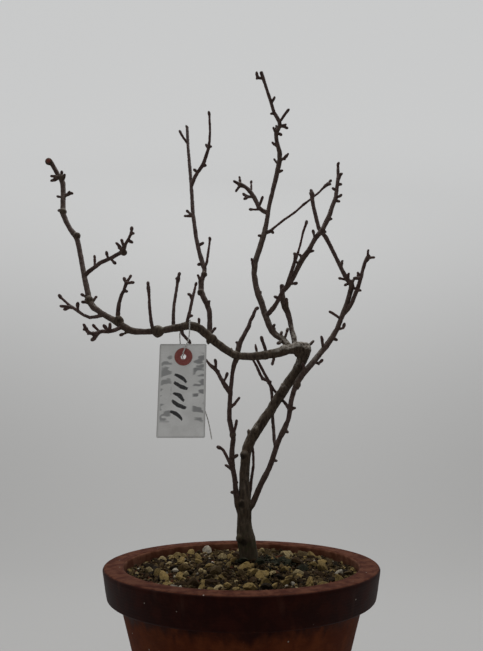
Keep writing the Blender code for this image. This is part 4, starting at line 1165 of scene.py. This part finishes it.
def make_lights(settings):
    """Lights the stage softly from all round, from overhead and from the left."""
    scene = bpy.context.scene
    world = bpy.data.worlds.new("Soft sky")
    scene.world = world
    world.use_nodes = True
    backdrop = world.node_tree.nodes["Background"]
    backdrop.inputs["Color"].default_value = (1.0, 1.0, 0.99, 1.0)
    backdrop.inputs["Strength"].default_value = settings.sky
    lamps = [("top", (0.1, 0.25, 1.65), 1.1, settings.top_light),
             ("left", (-1.3, -0.1, 1.2), 0.9, settings.side_light)]
    for name, place, size, power in lamps:
        lamp = bpy.data.lights.new(name, "AREA")
        lamp.size = size
        lamp.energy = power
        item = bpy.data.objects.new(name, lamp)
        item.location = place
        item.rotation_euler = (AIM - Vector(place)).to_track_quat("-Z", "Y").to_euler()
        scene.collection.objects.link(item)


def colour_property(name, description, default):
    return bpy.props.FloatVectorProperty(name=name, description=description, default=default,
                                         size=3, subtype="COLOR", min=0.0, max=1.0)


def number_property(name, description, default, min=0.0, **options):
    return bpy.props.FloatProperty(name=name, description=description, default=default, min=min, **options)


def count_property(name, description, default, min=0):
    return bpy.props.IntProperty(name=name, description=description, default=default, min=min)


class BonsaiStageSettings(bpy.types.PropertyGroup):
    wall: colour_property("Wall", "Colour of the floor and wall", (0.30, 0.30, 0.297))
    glow_low: colour_property("Low glow", "Light through the sheet at its foot", (0.155, 0.153, 0.150))
    glow_high: colour_property("High glow", "Light through the sheet at its top", (0.500, 0.505, 0.507))
    sky: number_property("Sky", "Strength of the soft light all round", 0.26)
    top_light: number_property("Top light", "Power of the light overhead", 15.0, unit="POWER")
    side_light: number_property("Side light", "Power of the light at the left", 2.5, unit="POWER")


class BonsaiPotSettings(bpy.types.PropertyGroup):
    clay: colour_property("Clay", "Colour of the dry clay", (0.070, 0.015, 0.005))
    # The band's colour: damp clay darkened further as painted shade
    damp_shaded_clay: colour_property("Damp clay", "Colour of the soaked clay", (0.015, 0.0020, 0.0008))
    segments: count_property("Segments", "Steps round the pot", 144, min=16)


class BonsaiSoilSettings(bpy.types.PropertyGroup):
    large_grains: count_property("Large grains", "Number of large grains", 1500)
    small_grains: count_property("Small grains", "Number of small grains", 4200)


class BonsaiTreeSettings(bpy.types.PropertyGroup):
    bark: colour_property("Bark", "Colour of old bark", (0.052, 0.036, 0.025))
    voxel: number_property("Voxel", "Fineness of the rounded wood", 0.55 * MM, min=0.3 * MM, unit="LENGTH")
    tree_triangles: count_property("Triangles", "Most triangles in the wood", 190000, min=1000)


class BonsaiTagSettings(bpy.types.PropertyGroup):
    card: colour_property("Card", "Colour of the card", (0.76, 0.76, 0.745))
    curl: number_property("Curl", "How far the card's foot curls", 1.1 * MM, unit="LENGTH")


class BonsaiStringSettings(bpy.types.PropertyGroup):
    lay: number_property("Lay", "Millimetres of twine for a full twist", 3.6, min=1.0)


class BONSAI_OT_stage(bpy.types.Operator):
    """Set the camera, the pale sweep and the soft light"""
    bl_idname = "bonsai.stage"
    bl_label = "Stage"

    def execute(self, context):
        context.scene.view_settings.view_transform = "Standard"
        make_camera()
        make_sweep(context.scene.bonsai_stage)
        make_lights(context.scene.bonsai_stage)
        return {"FINISHED"}


class BONSAI_OT_string(bpy.types.Operator):
    """Lay the tag's twine and tie its knot"""
    bl_idname = "bonsai.string"
    bl_label = "String"

    def execute(self, context):
        make_string(context.scene.bonsai_string)
        return {"FINISHED"}


class BONSAI_OT_pot(bpy.types.Operator):
    """Turn the clay pot"""
    bl_idname = "bonsai.pot"
    bl_label = "Pot"

    def execute(self, context):
        make_pot(context.scene.bonsai_pot)
        return {"FINISHED"}


class BONSAI_OT_soil(bpy.types.Operator):
    """Fill the pot and lay its loose grains"""
    bl_idname = "bonsai.soil"
    bl_label = "Soil"

    def execute(self, context):
        make_soil(context.scene.bonsai_soil)
        return {"FINISHED"}


class BONSAI_OT_tree(bpy.types.Operator):
    """Round the tree into living wood"""
    bl_idname = "bonsai.tree"
    bl_label = "Tree"

    def execute(self, context):
        make_tree(context.scene.bonsai_tree)
        return {"FINISHED"}


class BONSAI_OT_tag(bpy.types.Operator):
    """Cut the card tag, and paint its rings and the drain screen"""
    bl_idname = "bonsai.tag"
    bl_label = "Tag"

    def execute(self, context):
        make_tag(context.scene.bonsai_tag)
        paint_solids()
        return {"FINISHED"}


OPERATORS = (BONSAI_OT_stage, BONSAI_OT_string, BONSAI_OT_pot, BONSAI_OT_soil, BONSAI_OT_tree,
             BONSAI_OT_tag)
SETTINGS = {
    "bonsai_stage": BonsaiStageSettings, "bonsai_string": BonsaiStringSettings,
    "bonsai_pot": BonsaiPotSettings, "bonsai_soil": BonsaiSoilSettings,
    "bonsai_tree": BonsaiTreeSettings, "bonsai_tag": BonsaiTagSettings,
}


class BONSAI_PT_panel(bpy.types.Panel):
    """Lists the bonsai's pieces and their settings"""
    bl_idname = "BONSAI_PT_panel"
    bl_label = "Bonsai"
    bl_space_type = "VIEW_3D"
    bl_region_type = "UI"
    bl_category = "Bonsai"

    def draw(self, context):
        for operator, key in zip(OPERATORS, SETTINGS):
            box = self.layout.box()
            box.operator(operator.bl_idname)
            settings = getattr(context.scene, key)
            for name in settings.__annotations__:
                box.prop(settings, name)


def register():
    for group in SETTINGS.values():
        bpy.utils.register_class(group)
    for operator in OPERATORS:
        bpy.utils.register_class(operator)
    bpy.utils.register_class(BONSAI_PT_panel)
    for key, group in SETTINGS.items():
        setattr(bpy.types.Scene, key, bpy.props.PointerProperty(type=group))


def unregister():
    for key in SETTINGS:
        delattr(bpy.types.Scene, key)
    bpy.utils.unregister_class(BONSAI_PT_panel)
    for operator in reversed(OPERATORS):
        bpy.utils.unregister_class(operator)
    for group in SETTINGS.values():
        bpy.utils.unregister_class(group)


def main():
    register()
    bpy.ops.bonsai.stage()
    bpy.ops.bonsai.string()
    bpy.ops.bonsai.pot()
    bpy.ops.bonsai.soil()
    bpy.ops.bonsai.tree()
    bpy.ops.bonsai.tag()
    deselect()


if __name__ == "__main__":
    main()
